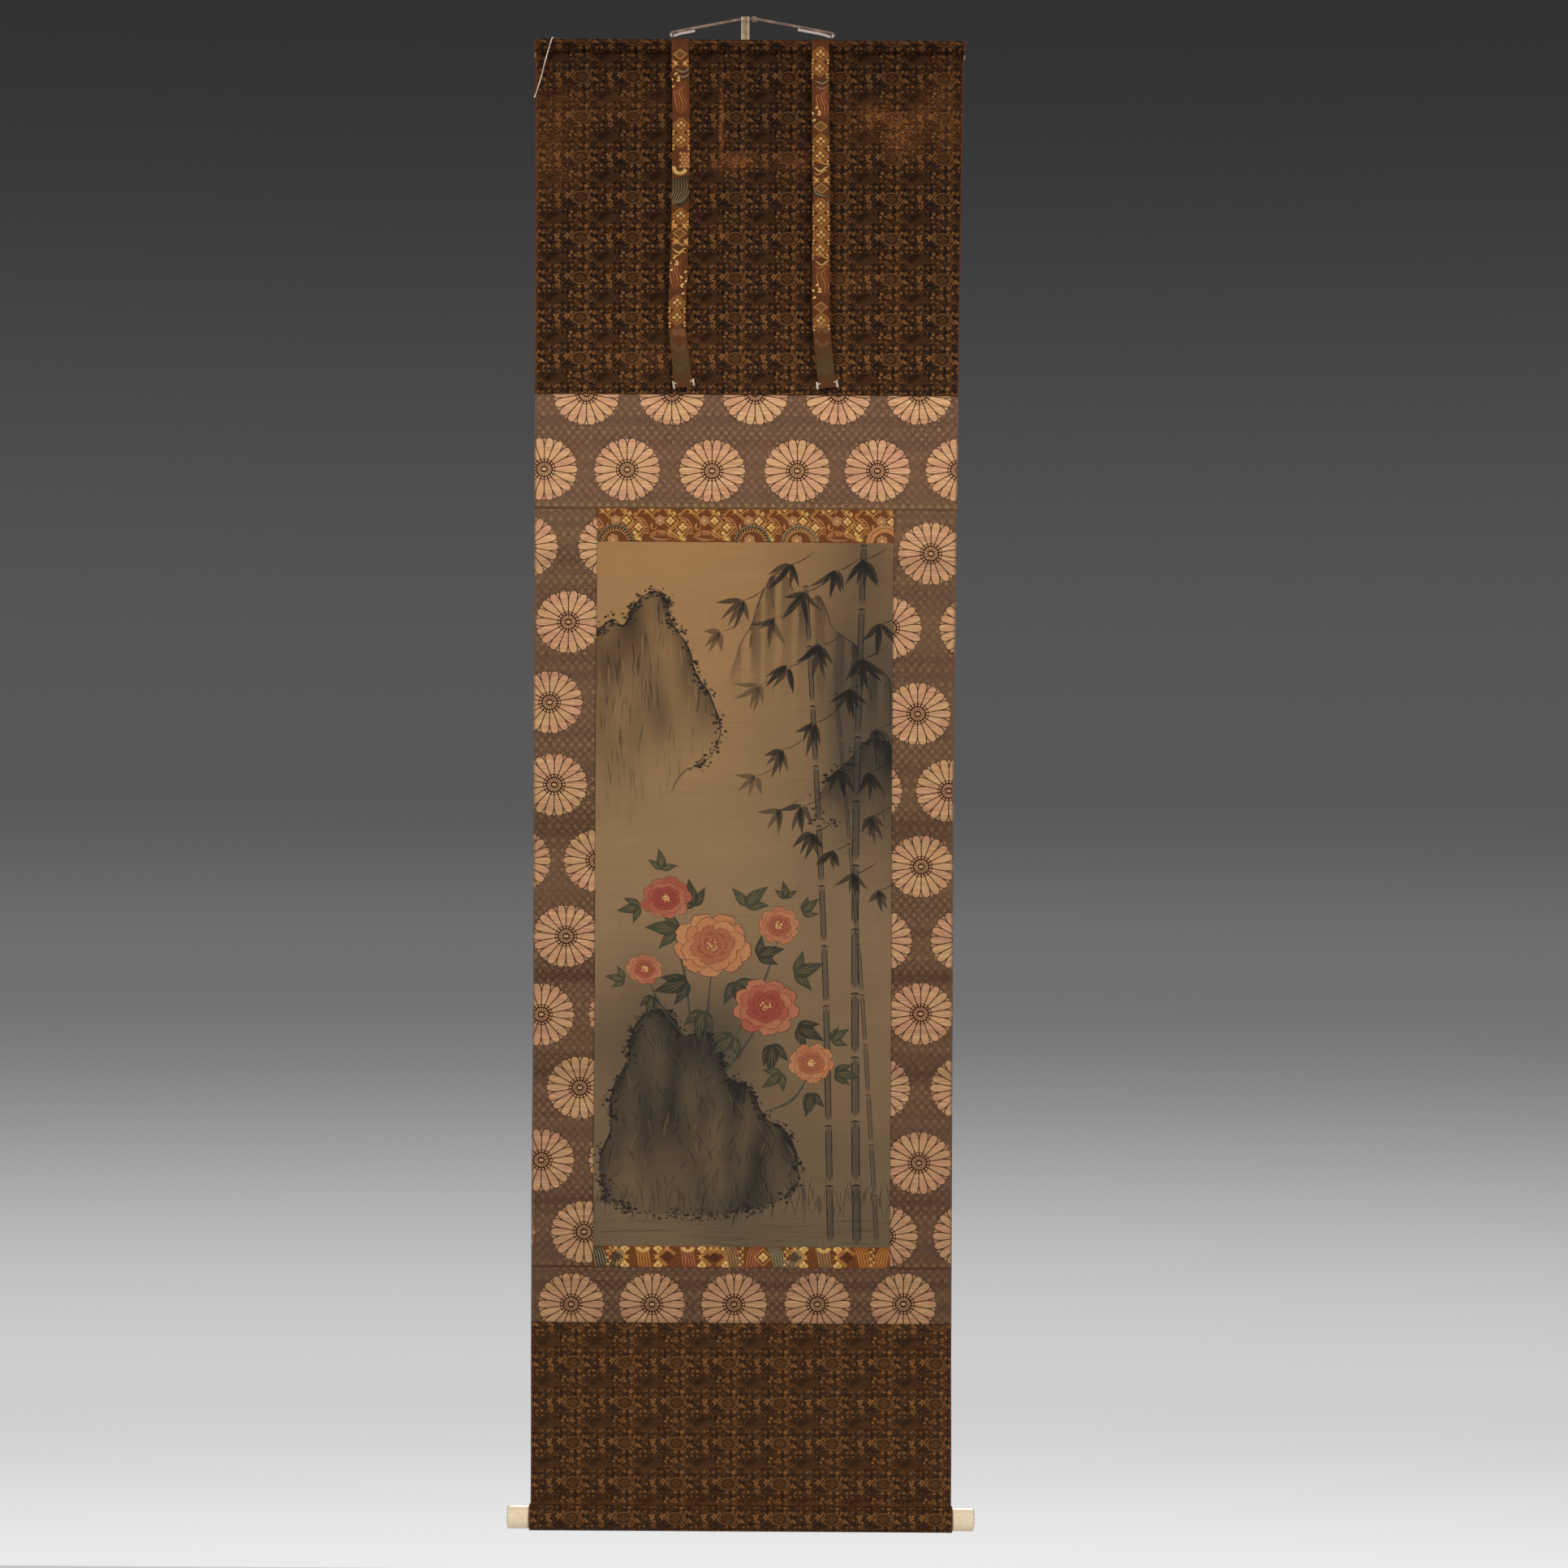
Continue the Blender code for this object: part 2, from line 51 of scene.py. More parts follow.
# ------------------------------------------------------------------ sizes, as in the CAD model
CLOTH = 0.0012
JOIN = 0.0003
CLOTH_TOP = -0.0226
TOP_SEAM = 0.429
UPPER_BAND_SEAM = 0.567
UPPER_GOLD_SEAM = 0.607
PICTURE_SEAM = 1.457
LOWER_GOLD_SEAM = 1.4825
LOWER_BAND_SEAM = 1.550
CLOTH_END = 1.801
PICTURE_HALF = 0.1788

ROD_RADIUS = 0.0072
ROD_FLAT = 0.0007
ROD_HEM = 0.006
ROD_SIDE = 0.0013
ROD_DROP = ROD_OUTER = ROD_RADIUS + JOIN + CLOTH
ROD_WRAP = ROD_RADIUS + JOIN + CLOTH / 2
ROLLER_RADIUS = 0.0145
ROLLER_HALF = 0.2548
ROLLER_SIDE = 0.0012
ROLLER_DROP = CLOTH_END - ROLLER_RADIUS - JOIN - CLOTH
ROLLER_WRAP = ROLLER_RADIUS + JOIN + CLOTH / 2
ROLLER_HEM_ANGLE = 352
TENON_RADIUS = 0.008
TENON = 0.014
KNOB_LENGTH = 0.0272
KNOB_RADIUS = 0.0142
KNOB_NECK = 0.0139
KNOB_ROUND = 0.003
KNOB_CROWN = 0.0006

EYE_LEFT = -0.0930
EYE_RIGHT = 0.0980
EYE_Y = -0.0022
EYE_WIRE = 0.00055
EYE_RADIUS = 0.00245
EYE_LEG = 0.00075
EYE_DEPTH = 0.0050
CORD_RADIUS = 0.0016
PEAK_LEFT = -0.0115
PEAK_RIGHT = 0.0095
CORD_TAIL_LEFT = 0.026
CORD_TAIL_RIGHT = 0.040
CORD_PARTING = 0.0036
TIE_WIDTH = 0.0100
TIE_X = -0.0058
TIE_KNOT_START = 0.0012
TIE_KNOT_END = 0.0086
RIBBON_HALF = 0.01045
RIBBON_START_ANGLE = 122
RIBBON_GAP = 0.0003
TUFT_LENGTH = 0.0090
TUFT_WAIST = 0.0009
TUFT_RADIUS = 0.0013
TUFT_OVERHANG = 0.0006
THREAD_RADIUS = 0.0009

EDGES = table(  # half widths at drops below the cloth's top
    "drop left right",
    (0.000, 0.2587, 0.2587), (0.187, 0.2576, 0.2569), (0.422, 0.2571, 0.2545), (0.657, 0.2566, 0.2530),
    (0.892, 0.2561, 0.2516), (1.128, 0.2546, 0.2521), (1.363, 0.2551, 0.2525), (1.598, 0.2546, 0.2530),
    (1.715, 0.2538, 0.2538), (1.801, 0.2538, 0.2538),
)
CREASES = table(  # soft rolling creases: how far back each goes, and half its height
    "drop tilt back reach",
    (0.130, 0.02, -0.0014, 0.050), (0.300, -0.03, 0.0019, 0.060), (0.480, 0.02, -0.0012, 0.045),
    (0.635, -0.01, 0.0018, 0.040), (0.800, 0.04, -0.0015, 0.060), (0.965, -0.02, 0.0021, 0.045),
    (1.130, 0.03, -0.0017, 0.050), (1.250, -0.01, 0.0014, 0.040), (1.400, 0.03, -0.0015, 0.055),
    (1.610, -0.02, 0.0017, 0.050),
)
CURL = 0.0030  # how far the side edges curl back
RIBBONS = table(  # the ribbons' middles, and how far they hang before the rod's middle
    "drop left right front",
    (0.012, -0.0841, 0.0850, 0.0089), (0.100, -0.0823, 0.0858, 0.0098), (0.190, -0.0827, 0.0873, 0.0108),
    (0.250, -0.0833, 0.0872, 0.0114), (0.310, -0.0850, 0.0875, 0.0120), (0.340, -0.0857, 0.0878, 0.0123),
    (0.365, -0.0836, 0.0899, 0.0104), (0.395, -0.0804, 0.0931, 0.0080), (0.4205, -0.0768, 0.0962, 0.0062),
)
TIE_ROUTE = table(  # down behind the scroll
    "z back",
    (-0.0060, 0.0008), (-0.0140, 0.0038), (-0.0240, 0.0050), (-0.0600, 0.0062), (-0.1500, 0.0075),
    (-0.3000, 0.0082), (-0.4500, 0.0075), (-0.6000, 0.0083), (-0.7500, 0.0078), (-0.9000, 0.0080),
)
THREAD_ROUTE = table(  # round the rod's left end: down the front, up the back
    "x drop y",
    (-0.2378, -0.0013, 0.0007), (-0.2384, 0.0000, -0.0041), (-0.2396, 0.0042, -0.0081),
    (-0.2411, 0.0095, -0.0092), (-0.2469, 0.0294, -0.0072), (-0.2519, 0.0485, -0.0050),
    (-0.2578, 0.0670, -0.0026), (-0.2599, 0.0712, 0.0001), (-0.2576, 0.0660, 0.0028),
    (-0.2520, 0.0460, 0.0038), (-0.2450, 0.0240, 0.0042), (-0.2386, 0.0050, 0.0041),
    (-0.2380, 0.0006, 0.0036), (-0.2379, -0.0012, 0.0029),
)

# ------------------------------------------------------------------ the looks' own sizes
STEP = 0.0045  # spacing of the cloth's mesh
SILK_STEP = 0.004  # of the painted silk's
BACK_STEP = 0.012  # of the backs of the drawn sheets'
RIBBON_STEP = 0.003  # of the ribbons'
RIM_REACH = 0.05  # how far in from a sheet's sides and seams the distance is still told
TIGHT = 0.00001  # nearer a sheet's side than this, a point counts as on it
SLOPE_REACH = 0.0004  # how far to either side the cloth's slope is taken
RIPPLE = 0.00035  # height of the fine rolling creases
MICRO_RIPPLE = 0.00010

ROUNDEL_WIDE = 0.0405
ROUNDEL_TALL = 0.0382
PETALS = 18
PETAL_HALF = 0.124  # of the roundel's own radius
ROUNDEL_SEED = 1.37  # times a roundel's number, where its own threads' noise starts
ROUNDELS = table(  # middles of the flower roundels, from millimetres
    "x drop",
    *((x / 1000, drop / 1000) for x, drop in (
        (-194.6, 429), (-91.6, 428.4), (9.0, 427.8), (109.2, 427.1), (207.2, 426.4), (-245.1, 519.9),
        (-145.0, 520.2), (-42.5, 521.1), (60.3, 520.5), (157.1, 519.9), (255.1, 518.3), (-267.7, 613.3),
        (-163.8, 612.7), (-214.8, 704.4), (-236.8, 801.5), (-230.7, 901.0), (-274.1, 993.0),
        (-179.0, 992.5), (-215.2, 1083.8), (-244.5, 1178.5), (-147.5, 1178), (-197.5, 1266.6),
        (-243.4, 1354.3), (-146.3, 1354), (-191.3, 1440.5), (-289.9, 1441), (222.4, 619.1),
        (172.0, 709.5), (272.9, 708.9), (207.5, 812.8), (149.7, 906.0), (245.8, 905.4), (213.0, 997.2),
        (162.6, 1086.8), (264.6, 1086.1), (213.4, 1174.9), (161.8, 1265.3), (265.7, 1264.6),
        (212.4, 1354.9), (171.8, 1443.9), (269.8, 1443.3), (-206.3, 1528), (-108.7, 1527.5), (-9.8, 1527),
        (90.9, 1526.2), (194.7, 1525.5),
    )),
)


# ------------------------------------------------------------------ lines the cloth follows
def between(rows, drop, column):
    """A column of a table at a drop, drawn straight between its rows."""
    above = [row for row in rows if row.drop <= drop] or [rows[0]]
    low = above[-1]
    high = rows[min(len(above), len(rows) - 1)]
    share = (drop - low.drop) / (high.drop - low.drop) if high is not low else 0
    return getattr(low, column) + share * (getattr(high, column) - getattr(low, column))


def left_edge(drop):
    return -between(EDGES, drop, "left")


def right_edge(drop):
    return between(EDGES, drop, "right")


def picture_left(drop):
    return (left_edge(drop) + right_edge(drop)) / 2 - PICTURE_HALF


def picture_right(drop):
    return (left_edge(drop) + right_edge(drop)) / 2 + PICTURE_HALF


def lie(x, drop):
    """How far the cloth lies behind the plane of the rods."""
    rolled = sum(c.back * exp(-(((drop - c.drop - c.tilt * x) / c.reach) ** 2)) for c in CREASES)
    free = sin(pi * min(max(drop / ROLLER_DROP, 0), 1))
    ripple = RIPPLE * noise.noise(Vector((x * 3.1, drop * 34, 0.5)))
    micro = MICRO_RIPPLE * noise.noise(Vector((x * 9, drop * 120, 4.5)))
    return rolled + CURL * free * (x / EDGES[0].left) ** 6 + (ripple + micro) * min(1, free * 6)


def spread(start, end, count):
    """count + 1 even steps from start to end."""
    return [start + (end - start) * i / count for i in range(count + 1)]


def steps(start, end, size):
    return spread(start, end, max(1, round((end - start) / size)))


def arc(centre, radius, start, end, count):
    """(y, drop) points round a centre. 0 degrees is backwards, 90 is up and 180 is towards the viewer."""
    y, drop = centre
    turns = [radians(angle) for angle in spread(start, end, count)]
    return [(y + radius * cos(a), drop - radius * sin(a)) for a in turns]


def smooth(points, counts):
    """A smooth line through points, with some steps in each span. counts is one number or a list."""
    places = [Vector(p) for p in points]
    counts = [counts] * (len(places) - 1) if isinstance(counts, int) else counts
    line = [places[0]]
    for i, count in enumerate(counts):
        a, b = places[i], places[i + 1]
        before = places[max(i - 1, 0)]
        after = places[min(i + 2, len(places) - 1)]
        reach = (b - a).length / 3
        out = (b - before).normalized() * reach
        back = (after - a).normalized() * reach
        line += interpolate_bezier(a, a + out, b - back, b, count + 1)[1:]
    return line


# ------------------------------------------------------------------ material graphs
def srgb(red, green, blue):
    """A linear colour from its everyday 0 to 255 values."""
    parts = [c / 255 for c in (red, green, blue)]
    return (*[c / 12.92 if c <= 0.04045 else ((c + 0.055) / 1.055) ** 2.4 for c in parts], 1)


def operation(kind):
    """A Math node's operation, as a method of a value."""
    return lambda self, *others: self.math(kind, *others)


class Value:
    """A value in a material's graph. Arithmetic on it adds Math nodes."""

    def __init__(self, tree, socket):
        self.tree = tree
        self.socket = socket

    def math(self, kind, *others):
        node = self.tree.nodes.new("ShaderNodeMath")
        node.operation = kind
        for slot, item in zip(node.inputs, (self, *others)):
            join(self.tree, item, slot)
        return Value(self.tree, node.outputs[0])

    __add__ = __radd__ = operation("ADD")
    __sub__ = operation("SUBTRACT")
    __mul__ = __rmul__ = operation("MULTIPLY")
    __truediv__ = operation("DIVIDE")
    __pow__ = operation("POWER")
    size = operation("ABSOLUTE")
    fraction = operation("FRACT")
    floor = operation("FLOOR")
    remainder = operation("FLOORED_MODULO")
    root = operation("SQRT")
    sine = operation("SINE")
    cosine = operation("COSINE")
    angle = operation("ARCTAN2")
    least = operation("MINIMUM")
    most = operation("MAXIMUM")

    def __rsub__(self, other):
        return self * -1 + other

    def above(self, limit, soft):
        """0 below the limit and 1 above it, blended over twice soft."""
        node = self.tree.nodes.new("ShaderNodeMapRange")
        node.interpolation_type = "SMOOTHSTEP"
        join(self.tree, self, node.inputs["Value"])
        join(self.tree, limit - soft, node.inputs["From Min"])
        join(self.tree, limit + soft, node.inputs["From Max"])
        return Value(self.tree, node.outputs["Result"])

    def below(self, limit, soft):
        return 1 - self.above(limit, soft)

    def near(self, middle, half, soft):
        """1 within half of the middle."""
        return (self - middle).size().below(half, soft)


def join(tree, item, slot):
    if isinstance(item, Value):
        tree.links.new(item.socket, slot)
    else:
        slot.default_value = item


class Look:
    """A material being made."""

    def __init__(self, name, roughness=0.8, sheen=0.0, coat=0.0, specular=0.5, metallic=0.0):
        self.material = bpy.data.materials.new(name)
        self.material.use_nodes = True
        self.tree = self.material.node_tree
        self.shader = self.tree.nodes["Principled BSDF"]
        for socket, value in (
            ("Roughness", roughness), ("Sheen Weight", sheen), ("Coat Weight", coat),
            ("Specular IOR Level", specular), ("Metallic", metallic),
        ):
            self.shader.inputs[socket].default_value = value

    def node(self, kind, inputs=(), **settings):
        node = self.tree.nodes.new("ShaderNode" + kind)
        for key, value in settings.items():
            setattr(node, key, value)
        for key, value in dict(inputs).items():
            join(self.tree, value, node.inputs[key])
        return node

    def value(self, node, output=0):
        return Value(self.tree, node.outputs[output])

    def layer(self, name):
        """(u, v) of a mesh's UV layer, in metres."""
        node = self.node("UVMap", uv_map=name)
        parts = self.node("SeparateXYZ", {"Vector": self.value(node, "UV")})
        return self.value(parts, "X"), self.value(parts, "Y")

    def place(self):
        parts = self.node("SeparateXYZ", {"Vector": self.value(self.node("TexCoord"), "Object")})
        return [self.value(parts, axis) for axis in "XYZ"]

    def vector(self, x, y, z=0.0):
        return self.value(self.node("CombineXYZ", {"X": x, "Y": y, "Z": z}))

    def noise(self, x, y, z=0.0, detail=2.0, rough=0.5):
        """Smooth noise about 0.5, one feature to a unit."""
        node = self.node(
            "TexNoise",
            {"Vector": self.vector(x, y, z), "Scale": 1.0, "Detail": detail, "Roughness": rough},
        )
        return self.value(node, "Fac")

    def chance(self, x, y, z=0.0):
        """(a, b, c): three even random numbers for whole-number places."""
        node = self.node("TexWhiteNoise", {"Vector": self.vector(x, y, z)}, noise_dimensions="3D")
        parts = self.node("SeparateColor", {"Color": self.value(node, "Color")})
        return [self.value(parts, channel) for channel in ("Red", "Green", "Blue")]

    def mix(self, share, low, high):
        node = self.node("Mix", data_type="RGBA", clamp_factor=True)
        join(self.tree, share, node.inputs[0])
        join(self.tree, low, node.inputs[6])
        join(self.tree, high, node.inputs[7])
        return self.value(node, 2)

    def shade(self, colour, amount):
        """The colour times an amount."""
        return self.value(self.node("VectorMath", {0: colour, 3: amount}, operation="SCALE"))

    def colour(self, layer):
        return self.value(self.node("Attribute", attribute_name=layer), "Color")

    def finish(self, colour, height=None, depth=0.0002):
        join(self.tree, colour, self.shader.inputs["Base Color"])
        if height is not None:
            bump = self.node("Bump", {"Height": height, "Strength": 1.0, "Distance": depth})
            join(self.tree, self.value(bump), self.shader.inputs["Normal"])
        return self.material


# ------------------------------------------------------------------ cloth materials
LOZENGE_WIDE = 0.0105
LOZENGE_TALL = 0.0116


def weave(u, v, pitch):
    """The height of a plain weave's crossing threads."""
    return (u * (2 * pi / pitch)).sine() * (v * (2 * pi / pitch)).sine() * 0.5 + 0.5


def rubbing(look, u, v, seed, across=14.0, down=190.0):
    """Uneven streaks along the weft, where rolling has rubbed the cloth. 0 to 1."""
    return look.noise(u * across, v * down, seed, detail=3.0, rough=0.6)


def border_cloth():
    """Purplish brown figured ground of nested lozenges, with tan flower roundels."""
    look = Look("border_cloth", roughness=0.7, specular=0.06)
    u, v = look.layer("cloth")
    x, y = look.layer("motif")
    seed, tone = look.layer("tone")
    side, seam = look.layer("rim")
    streak = rubbing(look, u, v, 0.0)
    band = look.noise(u * 3.0, v * 60.0, 7.0, detail=1.0)

    p = u / LOZENGE_WIDE + v / LOZENGE_TALL
    q = u / LOZENGE_WIDE - v / LOZENGE_TALL
    ring = ((p.fraction() - 0.5).size().most((q.fraction() - 0.5).size())) * 2
    hue, glint, inner = look.chance(0.5, p.floor() - q.floor() + 0.5, 1.5)
    light = ring.near(0.765, 0.125, 0.04) * 0.60 + ring.near(0.30, 0.120, 0.05) * (inner * 0.3 + 0.85)
    thread = look.noise(u * 900.0, v * 900.0, 2.0, detail=0.0)
    speck = look.noise(u * 210.0, v * 620.0, 6.0, detail=0.0).above(0.5, 0.16)
    light = light * (thread * 0.5 + 0.62) * (0.42 + streak * 0.3 + glint * 0.34 + speck * 0.5)
    dark_thread = look.mix(band, srgb(50, 29, 16), srgb(44, 27, 24))
    light_thread = look.mix(band * 0.5 + hue * 0.5, srgb(190, 150, 102), srgb(166, 122, 102))
    ground = look.mix(light, dark_thread, light_thread)

    fx = x / ROUNDEL_WIDE
    fy = y / ROUNDEL_TALL
    r = (fx * fx + fy * fy).root()
    angle = fy.angle(fx) * (PETALS / (2 * pi))
    f = ((angle + 0.5).fraction() - 0.5).size()
    aside = r * f * (2 * pi / PETALS)
    beyond = (r - (1 - PETAL_HALF)).most(0.0)
    edge = (aside * aside + beyond * beyond).root() - (r * (pi / PETALS)).least(PETAL_HALF)
    front = edge.below(0.0, 0.004)
    rim = 0.976 - (0.5 - f) ** 2 * 0.30
    inside = front.most((r - rim).below(0.0, 0.004))
    near_rim = (edge.most(r - rim)).near(0.0, 0.022, 0.010) * r.above(0.8, 0.05)
    outline = edge.near(0.0, 0.0150, 0.006).most((r - rim).near(0.0, 0.012, 0.006) * (1 - front))
    core = r.below(0.335, 0.008)
    seeds = f.below(0.30, 0.07) * r.near(0.284, 0.028, 0.010)
    rays = f.below(0.27, 0.07) * r.near(0.160, 0.055, 0.012)
    heart = ((fx / 0.078) ** 2 + (fy / 0.056) ** 2).root()
    middle = (seeds + rays + heart.below(0.9, 0.15)).least(1.0)
    weft = look.noise(u * 60.0, v * 1300.0, seed, detail=1.0)
    tint = look.noise(u * 22.0, v * 75.0, seed + 3.0, detail=1.0)
    fill = look.mix(tint.above(0.5, 0.14), srgb(198, 152, 106), srgb(194, 140, 106))
    fill = look.mix(weft.above(0.62, 0.12) * 0.5, fill, srgb(238, 200, 156))
    fill = look.mix(weft.below(0.36, 0.10) * 0.4, fill, srgb(128, 92, 62))
    bars = look.noise(u * 5.0, v * 130.0, 11.0, detail=2.0, rough=0.6)
    fill = look.shade(fill, (bars * 0.62 + streak * 0.30 + 0.54) * (front * 0.10 + 0.91))
    line = srgb(56, 30, 18)
    flower = look.mix(outline * 0.95, fill, line)
    heart_colour = look.mix(middle, line, look.shade(fill, 0.96))
    flower = look.mix(core, flower, heart_colour)
    colour = look.mix(near_rim * 0.8, ground, line)
    colour = look.mix(inside, colour, flower)
    # painted shade: the border darker lower down and along its fold lines
    colour = look.shade(colour, tone)
    colour = look.mix(side.below(0.0022, 0.0012) * 0.55, colour, srgb(120, 92, 74))
    # painted shade along the seams
    colour = look.mix(seam.below(0.0007, 0.0007) * 0.6, colour, srgb(40, 24, 16))
    height = weave(u, v, 0.0009) * 0.6 + inside * 0.9 - outline * inside * 0.6
    return look.finish(colour, height, 0.00016)


REPEAT_WIDE = 0.0625
REPEAT_TALL = 0.0485
CELL_DRIFT = 0.26  # how far flowers stray in their cells; more would cut them off
TAPE_PITCH = 0.0032


def cell_motif(look, u, v, wide, tall, columns, rows, seed):
    """Hashed cells that repeat with the brocade: place in the cell in metres, and random numbers."""
    a, b = u / wide, v / tall
    column = a.floor().remainder(columns)
    row = b.floor().remainder(rows)
    first, second, third = look.chance(column + 0.5, row + 0.5, seed)
    x = (a.fraction() - 0.5 - (first - 0.5) * CELL_DRIFT) * wide
    y = (b.fraction() - 0.5 - (second - 0.5) * CELL_DRIFT) * tall
    return x, y, first, second, third


def repeating(look, u, v, features, seed):
    """Smooth noise that repeats with the brocade: a walk round two circles at once."""
    across = u * (2 * pi / REPEAT_WIDE)
    down = v * (2 * pi / REPEAT_TALL)
    reach = features / (2 * pi)
    node = look.node(
        "TexNoise",
        {
            "Vector": look.vector(across.sine() * reach, across.cosine() * reach, down.sine() * reach),
            "W": down.cosine() * reach + seed, "Scale": 1.0, "Detail": 0.0,
        },
        noise_dimensions="4D",
    )
    return look.value(node, "Fac")


def brown_brocade():
    """Near-black brown ground, thick with golden flowers, curls, ribbed ovals and pointed medallions."""
    look = Look("brown_brocade", roughness=0.7, specular=0.03)
    u, v = look.layer("cloth")
    side, seam = look.layer("rim")
    wear_and_highlight, brightness = look.layer("tone")
    fine = look.noise(u * 420.0, v * 520.0, 1.0, detail=1.0)
    glint = look.noise(u * 700.0, v * 1500.0, 4.0, detail=0.0)

    # curling twigs and leaves as fine lines over a ground with dark pools
    pool = repeating(look, u, v, 9.0, 3.7)
    colour = look.mix(fine.above(0.5, 0.2), srgb(31, 19, 12), srgb(46, 28, 16))
    dark = pool.above(0.53, 0.03)
    colour = look.mix(dark * 0.85, colour, srgb(24, 19, 20))
    twigs = (repeating(look, u, v, 16.0, 1.3) * 11.0).fraction()
    twig = twigs.near(0.5, 0.13, 0.09) * (dark * -0.55 + 1.0)
    colour = look.mix(twig * 0.75, colour, look.mix(pool, srgb(104, 68, 40), srgb(74, 54, 40)))
    leaves = repeating(look, u + 0.013, v + 0.009, 22.0, 8.9)
    leaf_fill = leaves.above(0.60, 0.02)
    colour = look.mix(leaf_fill * (dark * -0.3 + 0.5), colour, srgb(88, 56, 32))
    vein = ((u + v * 0.6) * (2 * pi / 0.0016)).sine().above(0.2, 0.4) * leaf_fill
    colour = look.mix(vein * 0.7, colour, srgb(120, 80, 45))
    colour = look.mix(leaves.near(0.585, 0.012, 0.01) * 0.8, colour, srgb(26, 15, 10))
    # flowers of five petals with a dark eye, each cut clear by a dark edge
    for offset, wide, tall, columns, rows, seed, low, spare, chosen in (
        (0.0, 0.0125, 0.012125, 5, 4, 1.5, 0.0031, 0.0013, 0.16),
        (0.0037, 0.0089286, 0.0080833, 7, 6, 2.5, 0.0020, 0.0009, 0.24),
        (0.0061, 0.00625, 0.0060625, 10, 8, 3.5, 0.0015, 0.0006, 0.40),
    ):
        x, y, one, two, three = cell_motif(
            look, u + offset, v + offset * 1.3, wide, tall, columns, rows, seed
        )
        bend = (x * x + y * y).root()
        turn = y.angle(x) * 5 + one * 6.28
        reach = (two * spare + low) * (turn.cosine() * 0.20 + 0.80)
        present = (three - dark * 0.28).above(chosen, 0.01)
        cut = (reach + 0.0006 - bend).above(0.0, 0.00025) * present
        flower = (reach - bend).above(0.0, 0.00025) * present
        eye = bend.below(low * 0.34, 0.0003) * present
        notch = turn.cosine().below(-0.55, 0.2) * (bend - low * 0.45).above(0.0, 0.0003)
        golden = look.mix(one, srgb(178, 120, 66), srgb(134, 86, 46))
        petals = look.mix(three.above(0.56, 0.05), srgb(106, 66, 37), golden)
        petals = look.shade(petals, glint * 0.7 + 0.6)
        petals = look.mix(notch * 0.7, petals, srgb(44, 26, 15))
        colour = look.mix(cut * 0.9, colour, srgb(28, 17, 11))
        colour = look.mix(flower * 0.95, colour, petals)
        colour = look.mix(eye * 0.8, colour, srgb(40, 24, 14))
    # thin-outlined ovals, ribbed towards their lower right
    ax = ((u / REPEAT_WIDE + 0.25).fraction() - 0.5) * REPEAT_WIDE
    ay = ((v / REPEAT_TALL + 0.05).fraction() - 0.5) * REPEAT_TALL
    oval = ((ax / 0.01225) ** 2 + (ay / 0.00775) ** 2).root()
    fan = (ay + 0.0075).angle(ax + 0.0085) * 48
    rib = fan.sine().above(0.0, 0.5) * (oval - 0.93).below(0.0, 0.02)
    stripe = (ay * (2 * pi / 0.0017)).sine() * 0.5 + 0.5
    inner = look.mix(stripe * 0.6, srgb(34, 21, 13), srgb(60, 38, 23))
    inner = look.mix(rib * (ax + ay * 1.4).above(-0.001, 0.004), inner, srgb(86, 56, 32))
    colour = look.mix(oval.below(1.08, 0.03), colour, srgb(27, 17, 11))
    colour = look.mix(oval.below(0.99, 0.02), colour, inner)
    colour = look.mix(oval.near(0.96, 0.028, 0.02) * 0.85, colour, srgb(106, 70, 42))
    # pointed medallions of nested outlines, beaded, with a diamond at each end
    bx = ((u / REPEAT_WIDE + 0.75).fraction() - 0.5) * REPEAT_WIDE
    by = ((v / REPEAT_TALL + 0.55).fraction() - 0.5) * REPEAT_TALL
    across = (bx / 0.01400).size()
    lens = ((by / 0.00830).size() + across * 0.45).most((by / 0.0125).size() + across)
    lines = lens.near(0.90, 0.070, 0.03) + lens.near(0.62, 0.025, 0.03) * 0.5
    ends = ((bx.size() - 0.0090) / 0.0020).size() + (by / 0.0020).size()
    boss = (bx / 0.0058).size() + (by / 0.0044).size()
    lines = lines + ends.below(0.9, 0.2) * 0.7
    lines = lines + boss.near(0.88, 0.10, 0.06) + boss.near(0.44, 0.08, 0.06) * 0.6
    beads = 1.0
    for way in (bx + by, bx - by):
        beads = (way * (2 * pi / 0.0024)).sine().above(0.0, 0.4) * beads
    lines = (lines + beads * 0.25 * boss.above(1.05, 0.03) + boss.below(0.16, 0.06)).least(1.0)
    medal = look.mix(lines, srgb(38, 24, 15), srgb(128, 84, 46))
    colour = look.mix(lens.below(1.07, 0.02), colour, srgb(27, 17, 11))
    colour = look.mix(lens.below(1.0, 0.02), colour, look.shade(medal, glint * 0.4 + 0.8))

    streak = rubbing(look, u, v, 3.0, 12.0, 150.0)
    # The tone's second value scales the colour: darker towards the top of the top panel, and a paler brown on
    # the bottom panel.
    colour = look.mix(brightness.above(0.9, 0.05) * 0.27, colour, srgb(84, 58, 34))
    colour = look.shade(colour, (streak * 0.7 + 0.62) * brightness)
    # Worn orange-brown patches, and painted highlights along the top edge and the roller's wrap.
    patchy = look.noise(u * 240.0, v * 420.0, 9.0, detail=2.0).above(0.57, 0.07)
    colour = look.mix((patchy * 0.72 + 0.22) * wear_and_highlight, colour, srgb(156, 92, 48))
    colour = look.mix(side.below(0.0016, 0.0010) * 0.6, colour, srgb(112, 66, 54))
    # painted shade along the seams
    colour = look.mix(seam.below(0.0008, 0.0008) * 0.6, colour, srgb(30, 18, 12))
    height = weave(u, v, 0.0010) * 0.7 + fine * 0.5
    return look.finish(colour, height, 0.00014)


